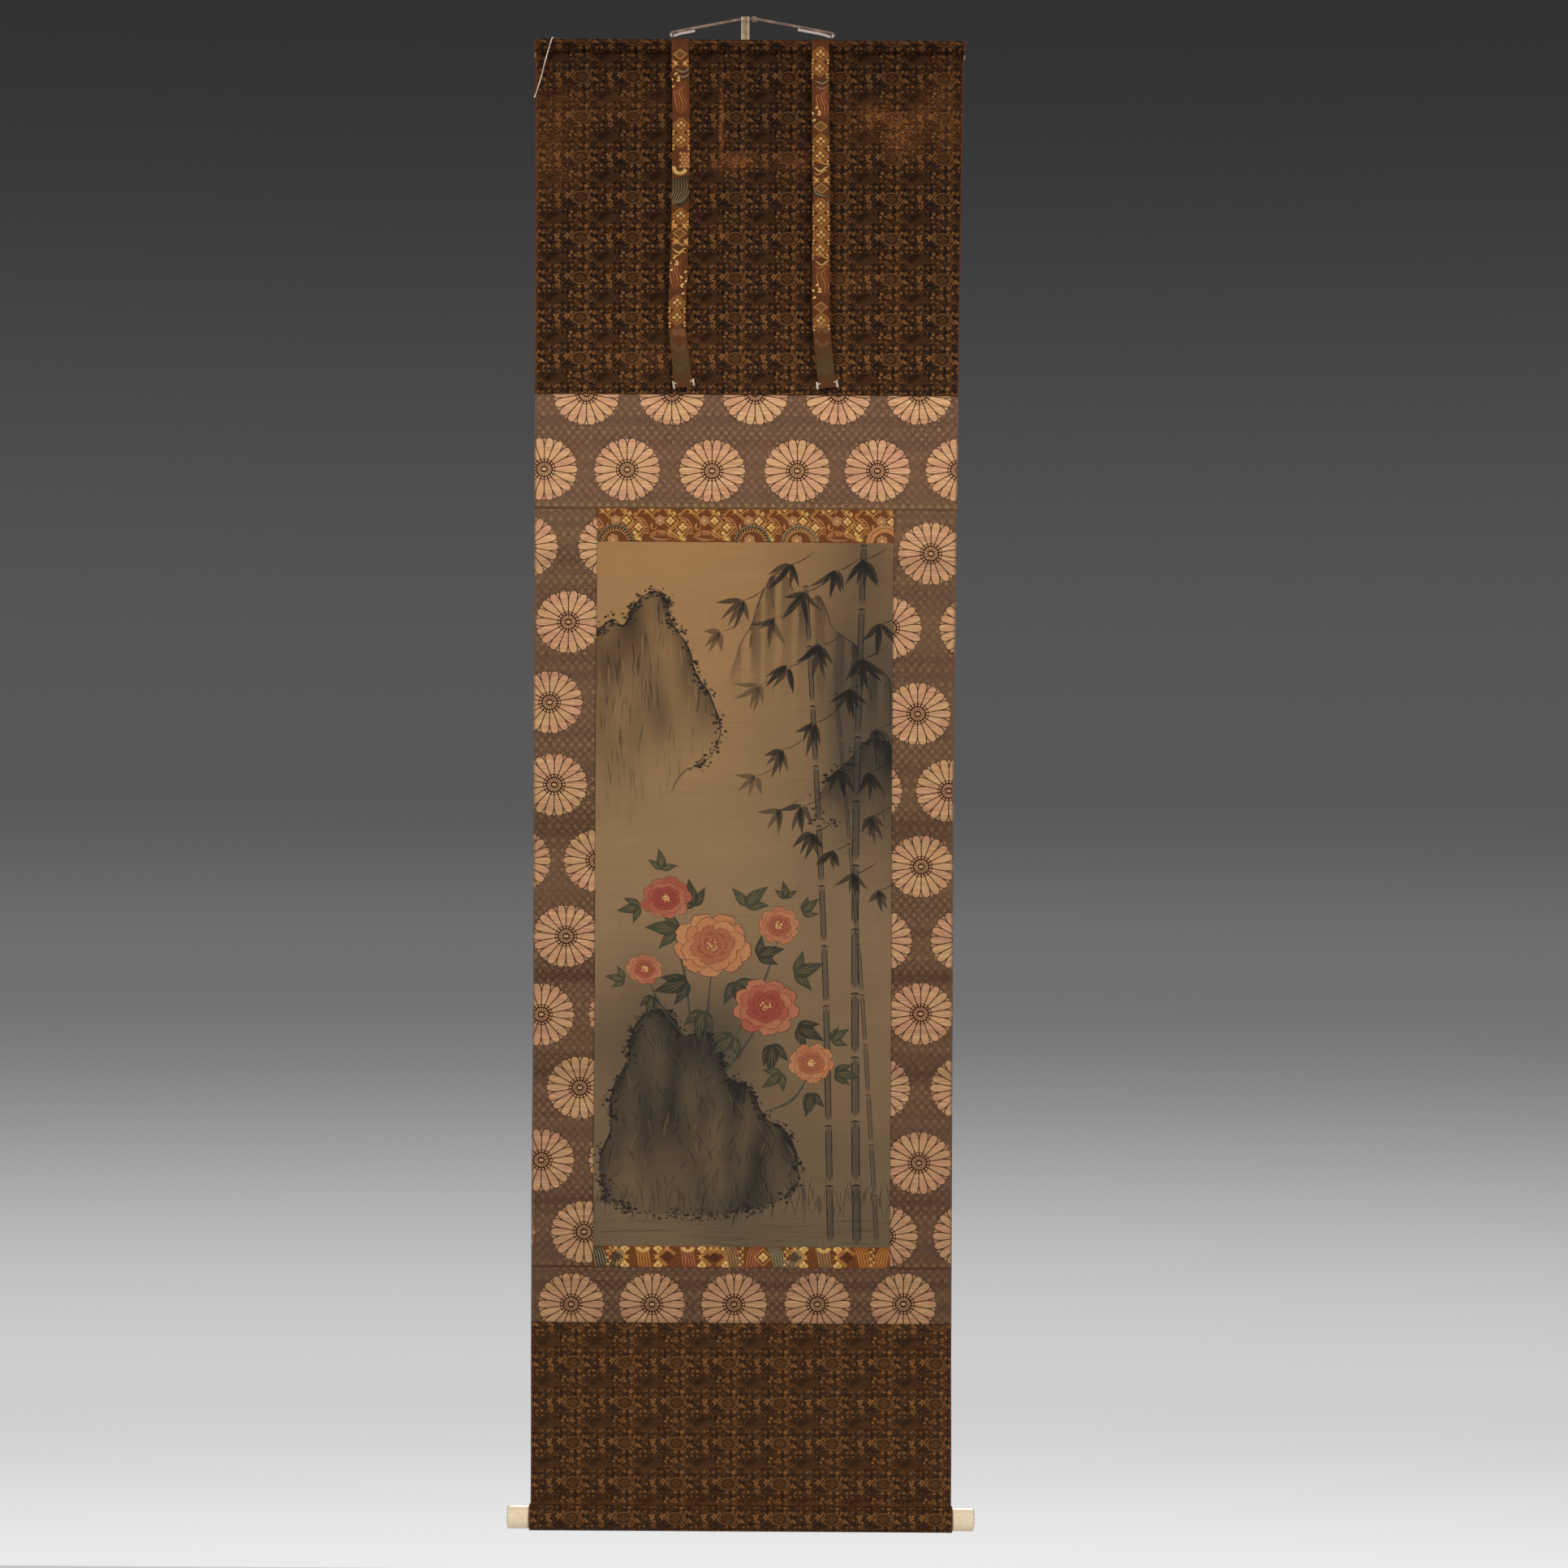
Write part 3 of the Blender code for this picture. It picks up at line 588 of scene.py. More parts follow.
def gold_brocade():
    """Reddish brown ground, its gold figures laid in the mesh's own colours."""
    look = Look("gold_brocade", roughness=0.55, specular=0.10)
    u, v = look.layer("cloth")
    figure = look.colour("figure")
    thread = look.noise(u * 160.0, v * 1500.0, 0.0, detail=1.0)
    streak = rubbing(look, u, v, 5.0, 40.0, 260.0)
    colour = look.shade(figure, thread * 0.9 * (streak * 0.6 + 0.7) + 0.35)
    return look.finish(colour, weave(u, v, 0.0008), 0.00012)


def painted_silk():
    """Aged tan silk. The painting's ink and colour are laid in the mesh's own colours."""
    look = Look("painted_silk", roughness=0.65, specular=0.07)
    u, v = look.layer("cloth")
    paint = look.colour("figure")
    slub = look.noise(u * 14.0, v * 900.0, 1.0, detail=1.0)
    warp = look.noise(u * 900.0, v * 9.0, 2.0, detail=1.0)
    stain = look.noise(u * 6.0, v * 18.0, 4.0, detail=3.0, rough=0.6)
    colour = look.shade(paint, slub * 0.26 + warp * 0.16 + stain * 0.26 + 0.66)
    return look.finish(colour, weave(u, v, 0.0007), 0.00008)


def backing_paper():
    """Aged Japanese paper on the back of every piece of cloth."""
    look = Look("backing_paper", roughness=0.9, specular=0.2)
    u, v = look.layer("cloth")
    fibre = look.noise(u * 300.0, v * 300.0, 0.0, detail=3.0, rough=0.7)
    stain = look.noise(u * 8.0, v * 10.0, 3.0, detail=4.0, rough=0.65)
    roll = look.noise(u * 1.5, v * 110.0, 6.0, detail=2.0)
    colour = look.mix(stain.above(0.5, 0.22), srgb(196, 172, 132), srgb(158, 128, 88))
    colour = look.shade(colour, fibre * 0.4 + roll * 0.3 + 0.62)
    return look.finish(colour, fibre + roll, 0.00012)


def eye_height():
    """The middle of a wire eye, above the cloth's top."""
    lowest = EYE_RADIUS * cos(asin(EYE_LEG / EYE_RADIUS))
    return CLOTH_TOP + JOIN + EYE_WIRE + lowest


def bare_tails(look, colour, x, z):
    """Paler doubled tails below the cord, beside its eyes."""
    rest = eye_height() + 2 * EYE_RADIUS
    for eye_x, peak_x in ((EYE_LEFT, PEAK_LEFT), (EYE_RIGHT, PEAK_RIGHT)):
        line = (x - eye_x) * ((CORD_RADIUS - rest) / (peak_x - eye_x)) + rest
        tail = (z - line).below(-CORD_PARTING / 2, 0.0003) * (x - eye_x).size().below(0.045, 0.001)
        colour = look.mix(tail * 0.8, colour, srgb(204, 188, 182))
    return colour


def thread_look(name, light, dark, tails=False):
    """Worn thread or braid, soiled here and there."""
    look = Look(name, roughness=0.8, sheen=0.2, specular=0.3)
    x, y, z = look.place()
    fibre = look.noise(x * 1500.0, z * 1500.0, y * 1500.0, detail=1.0)
    soil = look.noise(x * 90.0, z * 90.0, y * 90.0, detail=2.0)
    colour = look.mix(soil.above(0.5, 0.2), light, dark)
    if tails:
        colour = bare_tails(look, colour, x, z)
    return look.finish(look.shade(colour, fibre * 0.8 + 0.6), fibre, 0.0001)


def tape_look():
    """The tie's flat braid: a lattice of tan strands with painted shade in the dark gaps between them, and
    paler edges.
    """
    look = Look("flat_braid", roughness=0.8, sheen=0.2, specular=0.3)
    u, v = look.layer("cloth")
    side, _ = look.layer("rim")
    rising, falling = (u + v) / TAPE_PITCH, (u - v) / TAPE_PITCH
    gap = (rising.fraction() - 0.5).size().least((falling.fraction() - 0.5).size()) * 2
    soil = look.noise(u * 90.0, v * 90.0, 3.0, detail=2.0)
    fibre = look.noise(u * 1500.0, v * 1500.0, 1.0, detail=1.0)
    strand = look.mix(soil.above(0.5, 0.2), srgb(176, 148, 112), srgb(140, 112, 86))
    # painted shade in the gaps between strands
    colour = look.mix(gap.above(0.50, 0.10), strand, srgb(66, 48, 38))
    colour = look.mix(side.below(0.0019, 0.0005) * 0.8, colour, srgb(184, 168, 152))
    colour = look.shade(colour, fibre * 0.8 + 0.6)
    return look.finish(colour, fibre - gap, 0.0001)


def wood_look():
    """Planed softwood, its grain along the rods."""
    look = Look("planed_wood", roughness=0.6, specular=0.4)
    x, y, z = look.place()
    grain = look.noise(x * 25.0, z * 700.0, y * 700.0, detail=3.0, rough=0.6)
    colour = look.mix(grain.above(0.5, 0.25), srgb(150, 108, 66), srgb(96, 62, 34))
    return look.finish(colour, grain, 0.0001)


def bone_look():
    """Polished bone, faintly clouded, with fine pores along its length."""
    look = Look("polished_bone", roughness=0.28, coat=0.25, specular=0.5)
    x, y, z = look.place()
    grain = look.noise(x * 35.0, z * 900.0, y * 900.0, detail=2.0)
    cloud = look.noise(x * 80.0, z * 90.0, y * 90.0, detail=2.0)
    colour = look.mix(grain.above(0.58, 0.2) * 0.6, srgb(240, 222, 188), srgb(212, 182, 138))
    colour = look.mix(cloud.above(0.5, 0.3) * 0.5, colour, srgb(230, 208, 170))
    pores = look.noise(x * 500.0, z * 2600.0, y * 2600.0, detail=0.0).above(0.70, 0.05)
    colour = look.mix(pores * 0.5, colour, srgb(150, 112, 70))
    return look.finish(colour, grain - pores * 0.5, 0.00006)


def iron_look():
    """Dark wire with a little rust."""
    look = Look("dark_iron", roughness=0.5, metallic=0.8)
    x, y, z = look.place()
    rust = look.noise(x * 900.0, z * 900.0, y * 900.0, detail=3.0)
    colour = look.mix(rust.above(0.5, 0.2), srgb(84, 74, 66), srgb(118, 72, 46))
    return look.finish(colour, rust, 0.0001)


BRAID_LIGHT = srgb(150, 122, 104)
BRAID_DARK = srgb(104, 80, 66)
brown_cloth = brown_brocade()
figured_cloth = border_cloth()
gold_cloth = gold_brocade()
silk = painted_silk()
paper = backing_paper()
braid = thread_look("worn_braid", BRAID_LIGHT, BRAID_DARK)
cord_braid = thread_look("cord_braid", BRAID_LIGHT, BRAID_DARK, tails=True)
tape = tape_look()
pale_thread = thread_look("undyed_thread", srgb(226, 212, 190), srgb(186, 162, 140))
wood = wood_look()
bone = bone_look()
iron = iron_look()


# ------------------------------------------------------------------ pieces
def declare(obj, node, slot):
    """Every piece rides on the one body and stands for its own CAD node."""
    bpy.context.scene.collection.objects.link(obj)
    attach(obj, "root")
    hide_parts(node)
    return obj


def roundel_layers(faces, flat):
    """Each corner's place from the middle of its face's nearest roundel, and that roundel's own number."""
    places, numbers = [], []
    for face in faces:
        x, drop = (sum(flat[v].cloth[axis] for v in face) / 4 for axis in (0, 1))
        nearest = min(ROUNDELS, key=lambda r: hypot(x - r.x, drop - r.drop))
        number = ROUNDELS.index(nearest) * ROUNDEL_SEED
        places += [(flat[v].cloth[0] - nearest.x, nearest.drop - flat[v].cloth[1]) for v in face]
        numbers += [(number, flat[v].tone[1]) for v in face]
    return places, numbers


def set_layer(mesh, name, values):
    """A UV layer from one pair of metres for each face corner."""
    layer = mesh.uv_layers.new(name=name)
    layer.data.foreach_set("uv", [part for pair in values for part in pair])


def thicken(obj):
    """The cloth's thickness, its back and its front in their own materials."""
    solid = obj.modifiers.new("Thickness", "SOLIDIFY")
    solid.thickness = CLOTH
    solid.offset = 0
    solid.use_even_offset = True
    solid.material_offset = 1
    solid.material_offset_rim = 0
    return obj


Spot = namedtuple("Spot", "place cloth tone side seam")


def sheet_piece(name, rows, columns, spot, material, slot, roundels=False, back=None):
    """A sheet of cloth on a grid. spot(row, column) gives each point's place and its UV pairs."""
    flat = [spot(row, column) for row in range(rows + 1) for column in range(columns + 1)]
    wide = columns + 1
    faces = [
        (i * wide + j, (i + 1) * wide + j, (i + 1) * wide + j + 1, i * wide + j + 1)
        for i in range(rows)
        for j in range(columns)
    ]
    mesh = bpy.data.meshes.new(name)
    mesh.from_pydata([s.place for s in flat], [], faces)
    corners = [flat[v] for face in faces for v in face]
    layers = {
        "cloth": [s.cloth for s in corners],
        "tone": [s.tone for s in corners],
        "rim": [(s.side, s.seam) for s in corners],
    }
    if roundels:
        layers["motif"], layers["tone"] = roundel_layers(faces, flat)
    for layer, values in layers.items():
        set_layer(mesh, layer, values)
    mesh.shade_smooth()
    obj = bpy.data.objects.new(name + "_cloth", mesh)
    mesh.materials.append(material)
    mesh.materials.append(back or paper)
    declare(obj, name, slot)
    return thicken(obj)


# Painted shade down the border: the share of its colour kept at each drop.
PAINTED_DIMMING = ((0.0, 1.0), (0.50, 1.0), (0.62, 0.92), (0.85, 0.83), (1.30, 0.78), (1.55, 0.68), (2.0, 0.68))


def fade(drop):
    """Painted shade: the border's colour is scaled darker lower down, and darker along the lines where it was
    folded.
    """
    for (a, low), (b, high) in zip(PAINTED_DIMMING, PAINTED_DIMMING[1:]):
        if drop <= b:
            shade = low + (high - low) * (drop - a) / (b - a)
            break
    for fold in FOLD_SHADES:
        shade *= 1 - fold.depth * exp(-(((drop - fold.drop) / fold.tall) ** 2))
    return shade


FOLD_SHADES = table(  # painted shade along lines where the border has been folded
    "drop tall depth",
    (0.632, 0.007, 0.22), (0.655, 0.004, 0.12), (0.760, 0.010, 0.10), (0.948, 0.012, 0.26),
    (0.972, 0.004, 0.16), (1.045, 0.006, 0.12), (1.128, 0.009, 0.26), (1.196, 0.005, 0.12),
    (1.246, 0.010, 0.26), (1.318, 0.006, 0.14), (1.402, 0.008, 0.16), (1.502, 0.004, 0.16),
)


def panel(name, left, right, top, bottom):
    """A piece of the figured border."""
    drops = steps(top, bottom, STEP)
    columns = round((right(top) - left(top)) / STEP)
    beside_picture = left is picture_right or right is picture_left

    def spot(row, column):
        drop = drops[row]
        x = left(drop) + column / columns * (right(drop) - left(drop))
        side = min(x - left_edge(drop), right_edge(drop) - x, RIM_REACH)
        inner = min(abs(x - picture_left(drop)), abs(x - picture_right(drop)))
        seam = min(drop - top, bottom - drop, RIM_REACH)
        if beside_picture:
            seam = min(seam, inner)
        place = Vector((x, lie(x, drop), CLOTH_TOP - drop))
        # The tone's second value is the border's painted shade.
        return Spot(place, (x, drop), (0, fade(drop)), max(side, 0), max(seam, 0))

    obj = sheet_piece(name, len(drops) - 1, columns, spot, figured_cloth, "border_cloth", True)
    return obj


WEAR_AND_HIGHLIGHTS = table(  # where rubbing has brought up the orange-brown warp; the rows at drops 0 and 1.768 are painted highlights, along the top edge and on the roller's wrap
    "x drop wide tall strength",
    (-0.014, 0.148, 0.034, 0.009, 0.85), (-0.033, 0.100, 0.0021, 0.045, 1.60),
    (-0.033, 0.235, 0.0018, 0.014, 1.10), (0.0, 0.0000, 0.400, 0.0016, 0.55),
    (0.0, 1.768, 0.400, 0.0035, 0.40), (-0.235, 0.120, 0.030, 0.060, 0.50),
    (0.200, 0.110, 0.060, 0.030, 0.60), (0.150, 0.090, 0.030, 0.012, 0.35),
    (0.060, 0.150, 0.030, 0.012, 0.35), (-0.150, 0.080, 0.050, 0.020, 0.25),
    (0.230, 0.060, 0.020, 0.030, 0.30), (-0.100, 0.380, 0.090, 0.020, 0.18),
    (0.120, 0.290, 0.060, 0.015, 0.18),
)


def wear_and_highlight_at(x, drop):
    """How worn the brown brocade is, with painted highlights along its top edge and the roller's wrap."""
    total = 0.02
    for s in WEAR_AND_HIGHLIGHTS:
        total += s.strength * exp(-(((x - s.x) / s.wide) ** 2) - ((drop - s.drop) / s.tall) ** 2)
    return total * (0.7 + 0.6 * noise.noise(Vector((x * 30, drop * 60, 1.0))))


def sleeved_panel(name, path, sleeve_side, brightness):
    """A full-width piece along a path of (y, drop, in the sleeve) rows."""
    columns = round(TOP_PANEL_FLAT[0] / STEP)
    run = [0.0, *accumulate(hypot(b[0] - a[0], b[1] - a[1]) for a, b in zip(path, path[1:]))]
    shift = next(r - p[1] for r, p in zip(run, path) if not p[2])

    def spot(row, column):
        y, drop, in_sleeve = path[row]
        out = sleeve_side if in_sleeve else 0
        left = left_edge(drop) - out
        right = right_edge(drop) + out
        x = left + column / columns * (right - left)
        sway = 0 if in_sleeve else lie(x, drop)
        along = run[row] - shift
        side = min(x - left, right - x, RIM_REACH)
        seam = min(run[row], run[-1] - run[row], RIM_REACH)
        place = Vector((x, y + sway, CLOTH_TOP - drop))
        return Spot(place, (x, along), (wear_and_highlight_at(x, along), brightness(along)), side, seam)

    obj = sheet_piece(name, len(path) - 1, columns, spot, brown_cloth, "brown_brocade")
    return obj


TOP_PANEL_FLAT = (0.517, 0.471)
TOP_BAND_FLAT = (0.514, 0.138)
BOTTOM_BAND_FLAT = (0.508, 0.0675)
SIDE_STRIP_FLAT = (0.0785, 0.9155)


def make_panels():
    """The brown panels round the rod and the roller, and the border between them."""
    back = ROD_FLAT + JOIN + CLOTH / 2
    hem_start = ROD_DROP + ROD_WRAP + ROD_HEM
    hem = [(back, drop) for drop in steps(hem_start, ROD_DROP - ROD_WRAP, -0.003)]
    wrap = arc((ROD_FLAT, ROD_DROP), ROD_WRAP, 90, 265, 26)
    crease = wrap.pop()[1]
    path = [(y, drop, True) for y, drop in hem + wrap]
    path += [(0, drop, False) for drop in steps(crease, TOP_SEAM, STEP)]
    sleeved_panel(
        "top_panel", path, ROD_SIDE,
        lambda along: 0.45 + 0.37 * min(max(along, 0) / TOP_SEAM, 1),
    )
    wrap = arc((0, ROLLER_DROP), ROLLER_WRAP, 90, 90 + ROLLER_HEM_ANGLE, 44)[1:]
    path = [(0, drop, False) for drop in steps(LOWER_BAND_SEAM, ROLLER_DROP - ROLLER_WRAP, STEP)]
    path += [(y, drop, True) for y, drop in wrap]
    sleeved_panel(
        "bottom_panel", path, ROLLER_SIDE, lambda along: 0.92
    )
    for name, left, right, top, bottom, flat in (
        ("middle_band_top", left_edge, right_edge, TOP_SEAM, UPPER_BAND_SEAM, TOP_BAND_FLAT),
        ("middle_band_bottom", left_edge, right_edge, LOWER_GOLD_SEAM, LOWER_BAND_SEAM, BOTTOM_BAND_FLAT),
        ("side_strip_left", left_edge, picture_left, UPPER_BAND_SEAM, LOWER_GOLD_SEAM, SIDE_STRIP_FLAT),
        ("side_strip_right", picture_right, right_edge, UPPER_BAND_SEAM, LOWER_GOLD_SEAM, SIDE_STRIP_FLAT),
    ):
        panel(name, left, right, top, bottom)


# ------------------------------------------------------------------ drawn cloth
Shape = namedtuple("Shape", "points colour strength")


def blend(low, high, share):
    return tuple(a + (b - a) * share for a, b in zip(low, high))


def within(ring, spots):
    """Which of the spots lie inside a closed ring, by crossings."""
    x, y = ring[:, 0], ring[:, 1]
    x2, y2 = np.roll(x, -1), np.roll(y, -1)
    rise = np.where(y2 == y, 1e-12, y2 - y)
    s, t = spots[:, 0:1], spots[:, 1:2]
    crossed = ((y > t) != (y2 > t)) & (s < x + (t - y) / rise * (x2 - x))
    return crossed.sum(axis=1) % 2 == 1


def lay_colours(flat, triangles, shapes, ground):
    """The colour of each face corner, the shapes laid one over another on the ground."""
    spots = np.array([tuple(p) for p in flat])
    corners = np.array(triangles)
    centres = spots[corners].mean(axis=1)
    order = np.argsort(centres[:, 1])
    down = centres[order, 1]
    colours = np.array([ground(s, t) for s, t in flat])[corners]
    for shape in shapes:
        ring = np.array(shape.points)
        low, high = ring.min(axis=0), ring.max(axis=0)
        first, last = np.searchsorted(down, (low[1], high[1]))
        near = order[first:last]
        near = near[(centres[near, 0] > low[0]) & (centres[near, 0] < high[0])]
        if not len(near):
            continue
        covered = near[within(ring, centres[near])]
        if callable(shape.strength):
            used = np.unique(corners[covered])
            shares = np.zeros(len(flat))
            shares[used] = [shape.strength(*flat[v]) for v in used]
            share = shares[corners[covered]][:, :, None]
        else:
            share = shape.strength
        colours[covered] += (np.array(shape.colour) - colours[covered]) * share
    return colours


def round_border(flat, width, length):
    """The points on a rectangle's sides, in order round it."""
    found = []
    for i, (s, t) in enumerate(flat):
        if t < TIGHT:
            found.append((s, i))
        elif s > width - TIGHT:
            found.append((width + t, i))
        elif t > length - TIGHT:
            found.append((2 * width + length - s, i))
        elif s < TIGHT:
            found.append((2 * width + 2 * length - t, i))
    return [i for _, i in sorted(found)]


def snapped(reach, full):
    """A place kept on the sheet, and moved onto its side when it's right beside it."""
    return 0 if reach < 3 * TIGHT else full if reach > full - 3 * TIGHT else reach


def mosaic(name, width, length, shapes, ground, place, size, material, slot):
    """A sheet whose shapes are cut into its front, each with its colour laid over those below it."""
    points = [Vector((s, t)) for t in steps(0, length, size) for s in steps(0, width, size)]
    edges = []
    for shape in shapes:
        first, count = len(points), len(shape.points)
        points += [Vector((snapped(s, width), snapped(t, length))) for s, t in shape.points]
        edges += [(first + i, first + (i + 1) % count) for i in range(count)]
    flat, _, triangles, *_ = delaunay_2d_cdt(points, edges, [], 0, 2 * TIGHT, False)
    border = round_border(flat, width, length)
    rough = [flat[i] for i in border]
    inner = [steps(0, side, BACK_STEP)[1:-1] for side in (width, length)]
    rough += [Vector((s, t)) for t in inner[1] for s in inner[0]]
    rear, _, rear_triangles, *_ = delaunay_2d_cdt(rough, [], [], 0, TIGHT, False)
    rear_border = round_border(rear, width, length)

    def off(s, t, shift):
        """The place half the cloth's thickness before or behind its middle."""
        across = place(s + SLOPE_REACH, t).place - place(s - SLOPE_REACH, t).place
        down = place(s, t + SLOPE_REACH).place - place(s, t - SLOPE_REACH).place
        return place(s, t).place + across.cross(down).normalized() * shift

    verts = [off(s, t, -CLOTH / 2) for s, t in flat] + [off(s, t, CLOTH / 2) for s, t in rear]
    base = len(flat)
    fronts = [tuple(reversed(face)) for face in triangles]
    faces = fronts + [tuple(base + v for v in face) for face in rear_triangles]
    rims = [
        (i, j, base + n, base + m)
        for i, j, m, n in zip(border, border[1:] + border[:1], rear_border, rear_border[1:] + rear_border[:1])
    ]
    both = list(flat) + list(rear)
    spots = [place(s, t) for s, t in both]
    mesh = bpy.data.meshes.new(name)
    mesh.from_pydata(verts, [], faces + rims)
    set_layer(mesh, "cloth", [spots[v].cloth for face in faces + rims for v in face])
    set_layer(mesh, "rim", [(spots[v].side, spots[v].seam) for face in faces + rims for v in face])
    colours = lay_colours(flat, fronts, shapes, ground)
    others = [ground(*both[v]) for face in faces[len(fronts):] + rims for v in face]
    layer = mesh.color_attributes.new("figure", "FLOAT_COLOR", "CORNER")
    layer.data.foreach_set("color", np.concatenate((colours.ravel(), np.array(others).ravel())))
    mesh.shade_smooth()
    mesh.set_sharp_from_angle(angle=radians(50))
    mesh.materials.append(material)
    mesh.materials.append(paper)
    sides = [0] * len(fronts) + [1] * len(rear_triangles) + [0] * len(rims)
    mesh.polygons.foreach_set("material_index", sides)
    obj = bpy.data.objects.new(name + "_cloth", mesh)
    return declare(obj, name, slot)


def mounted(top, bottom):
    """Where a point of the picture or a gold strip lies, from its left edge and its upper seam."""

    def place(s, t):
        drop = top + t
        x = picture_left(drop) + s
        side = min(s, 2 * PICTURE_HALF - s)
        where = Vector((x, lie(x, drop), CLOTH_TOP - drop))
        return Spot(where, (s, drop), 0, side, min(t, bottom - drop))

    return place


def heading(line, i):
    """The way a line of points runs at one of them."""
    return (line[min(i + 1, len(line) - 1)] - line[max(i - 1, 0)]).normalized()


# ------------------------------------------------------------------ the painting: peonies, bamboo and rocks
INK = srgb(34, 32, 29)
WASH = srgb(66, 60, 50)
LEAF_GREEN = srgb(78, 80, 56)
LEAF_GREY = srgb(62, 62, 50)
CORAL = srgb(152, 70, 58)
DEEP_RED = srgb(118, 44, 40)
ORANGE = srgb(176, 118, 76)
PALE = srgb(196, 152, 104)
STAMEN = srgb(206, 168, 104)
PETAL_RIM = srgb(74, 40, 32)
PICTURE_WIDE = 2 * PICTURE_HALF
PICTURE_TALL = PICTURE_SEAM - UPPER_GOLD_SEAM

Brush = namedtuple("Brush", "width taper rough")
FINE = Brush(0.0007, 0.45, 0.10)
LINE = Brush(0.0012, 0.40, 0.15)


def stroke(points, brush, colour, strength, pick, counts=5):
    """A brush stroke along points: fine where the brush lands and lifts."""
    line = smooth([(s, t, 0) for s, t in points], counts)
    left, right = [], []
    for i, point in enumerate(line):
        ahead = heading(line, i)
        share = i / (len(line) - 1)
        body = min(1, share / brush.taper + 0.15, (1 - share) / brush.taper + 0.08)
        half = brush.width / 2 * body * (1 + brush.rough * pick.uniform(-1, 1))
        left.append((point.x - ahead.y * half, point.y + ahead.x * half))
        right.append((point.x + ahead.y * half, point.y - ahead.x * half))
    return Shape(left + right[::-1], colour, strength)


def leaf(s, t, length, width, angle, colour, strength, bend=0.0, count=6):
    """A pointed leaf from its stem, at an angle in degrees from the right, downwards."""
    left, right = [], []
    for k in range(count + 1):
        along = k / count
        turn = radians(angle + bend * along)
        half = width / 2 * sin(pi * along**0.7) * (1 - 0.25 * along)
        x, y = s + length * along * cos(turn), t + length * along * sin(turn)
        left.append((x - sin(turn) * half, y + cos(turn) * half))
        right.append((x + sin(turn) * half, y - cos(turn) * half))
    return Shape(left + right[-2:0:-1], colour, strength)


def dot(s, t, wide, tall, colour, strength, count=7):
    turns = [2 * pi * k / count for k in range(count)]
    return Shape([(s + wide * cos(a), t + tall * sin(a)) for a in turns], colour, strength)


def inside(points, s, t):
    """Whether a place lies in a closed ring of points."""
    crossings = 0
    for (a, b), (c, d) in zip(points, points[1:] + points[:1]):
        if (b > t) != (d > t) and s < a + (t - b) / (d - b) * (c - a):
            crossings += 1
    return crossings % 2 == 1


def cloud(s, t, across, down, seed):
    """Smooth noise from 0 to 1."""
    return min(max(0.5 + 0.62 * noise.noise(Vector((s * across, t * down, seed))), 0), 1)


CRAGS = table(  # far peaks in mist, then the garden rock; outlines run round from the left
    "seed wash fade strokes run lean moss outline",
    (11, 0.74, 0.095, 80, 0.024, 0.15, 0, (
        (0.150, 0.190), (0.172, 0.128), (0.190, 0.092), (0.204, 0.052), (0.222, 0.036), (0.238, 0.060),
        (0.252, 0.074), (0.270, 0.066), (0.286, 0.104), (0.310, 0.120), (0.330, 0.150), (0.356, 0.168),
        (0.356, 0.230), (0.250, 0.215),
    )),
    (12, 0.90, 0.200, 230, 0.030, 0.10, 90, (
        (0.0, 0.360), (0.0, 0.118), (0.016, 0.096), (0.034, 0.100), (0.046, 0.076), (0.066, 0.060),
        (0.082, 0.066), (0.092, 0.098), (0.112, 0.128), (0.120, 0.160), (0.138, 0.186), (0.150, 0.226),
        (0.136, 0.262), (0.104, 0.280), (0.080, 0.320), (0.040, 0.345),
    )),
    (13, 0.90, 0.090, 80, 0.022, 0.3, 30, (
        (0.262, 0.330), (0.280, 0.286), (0.300, 0.268), (0.322, 0.244), (0.342, 0.238), (0.3576, 0.246),
        (0.3576, 0.352), (0.320, 0.346),
    )),
    (14, 0.86, 0.400, 330, 0.020, 0.45, 150, (
        (0.014, 0.792), (0.008, 0.742), (0.022, 0.706), (0.020, 0.664), (0.040, 0.630), (0.046, 0.592),
        (0.070, 0.566), (0.092, 0.572), (0.108, 0.598), (0.132, 0.590), (0.150, 0.612), (0.160, 0.646),
        (0.188, 0.660), (0.206, 0.694), (0.232, 0.712), (0.246, 0.748), (0.240, 0.782), (0.190, 0.806),
        (0.110, 0.812), (0.050, 0.808),
    )),
)


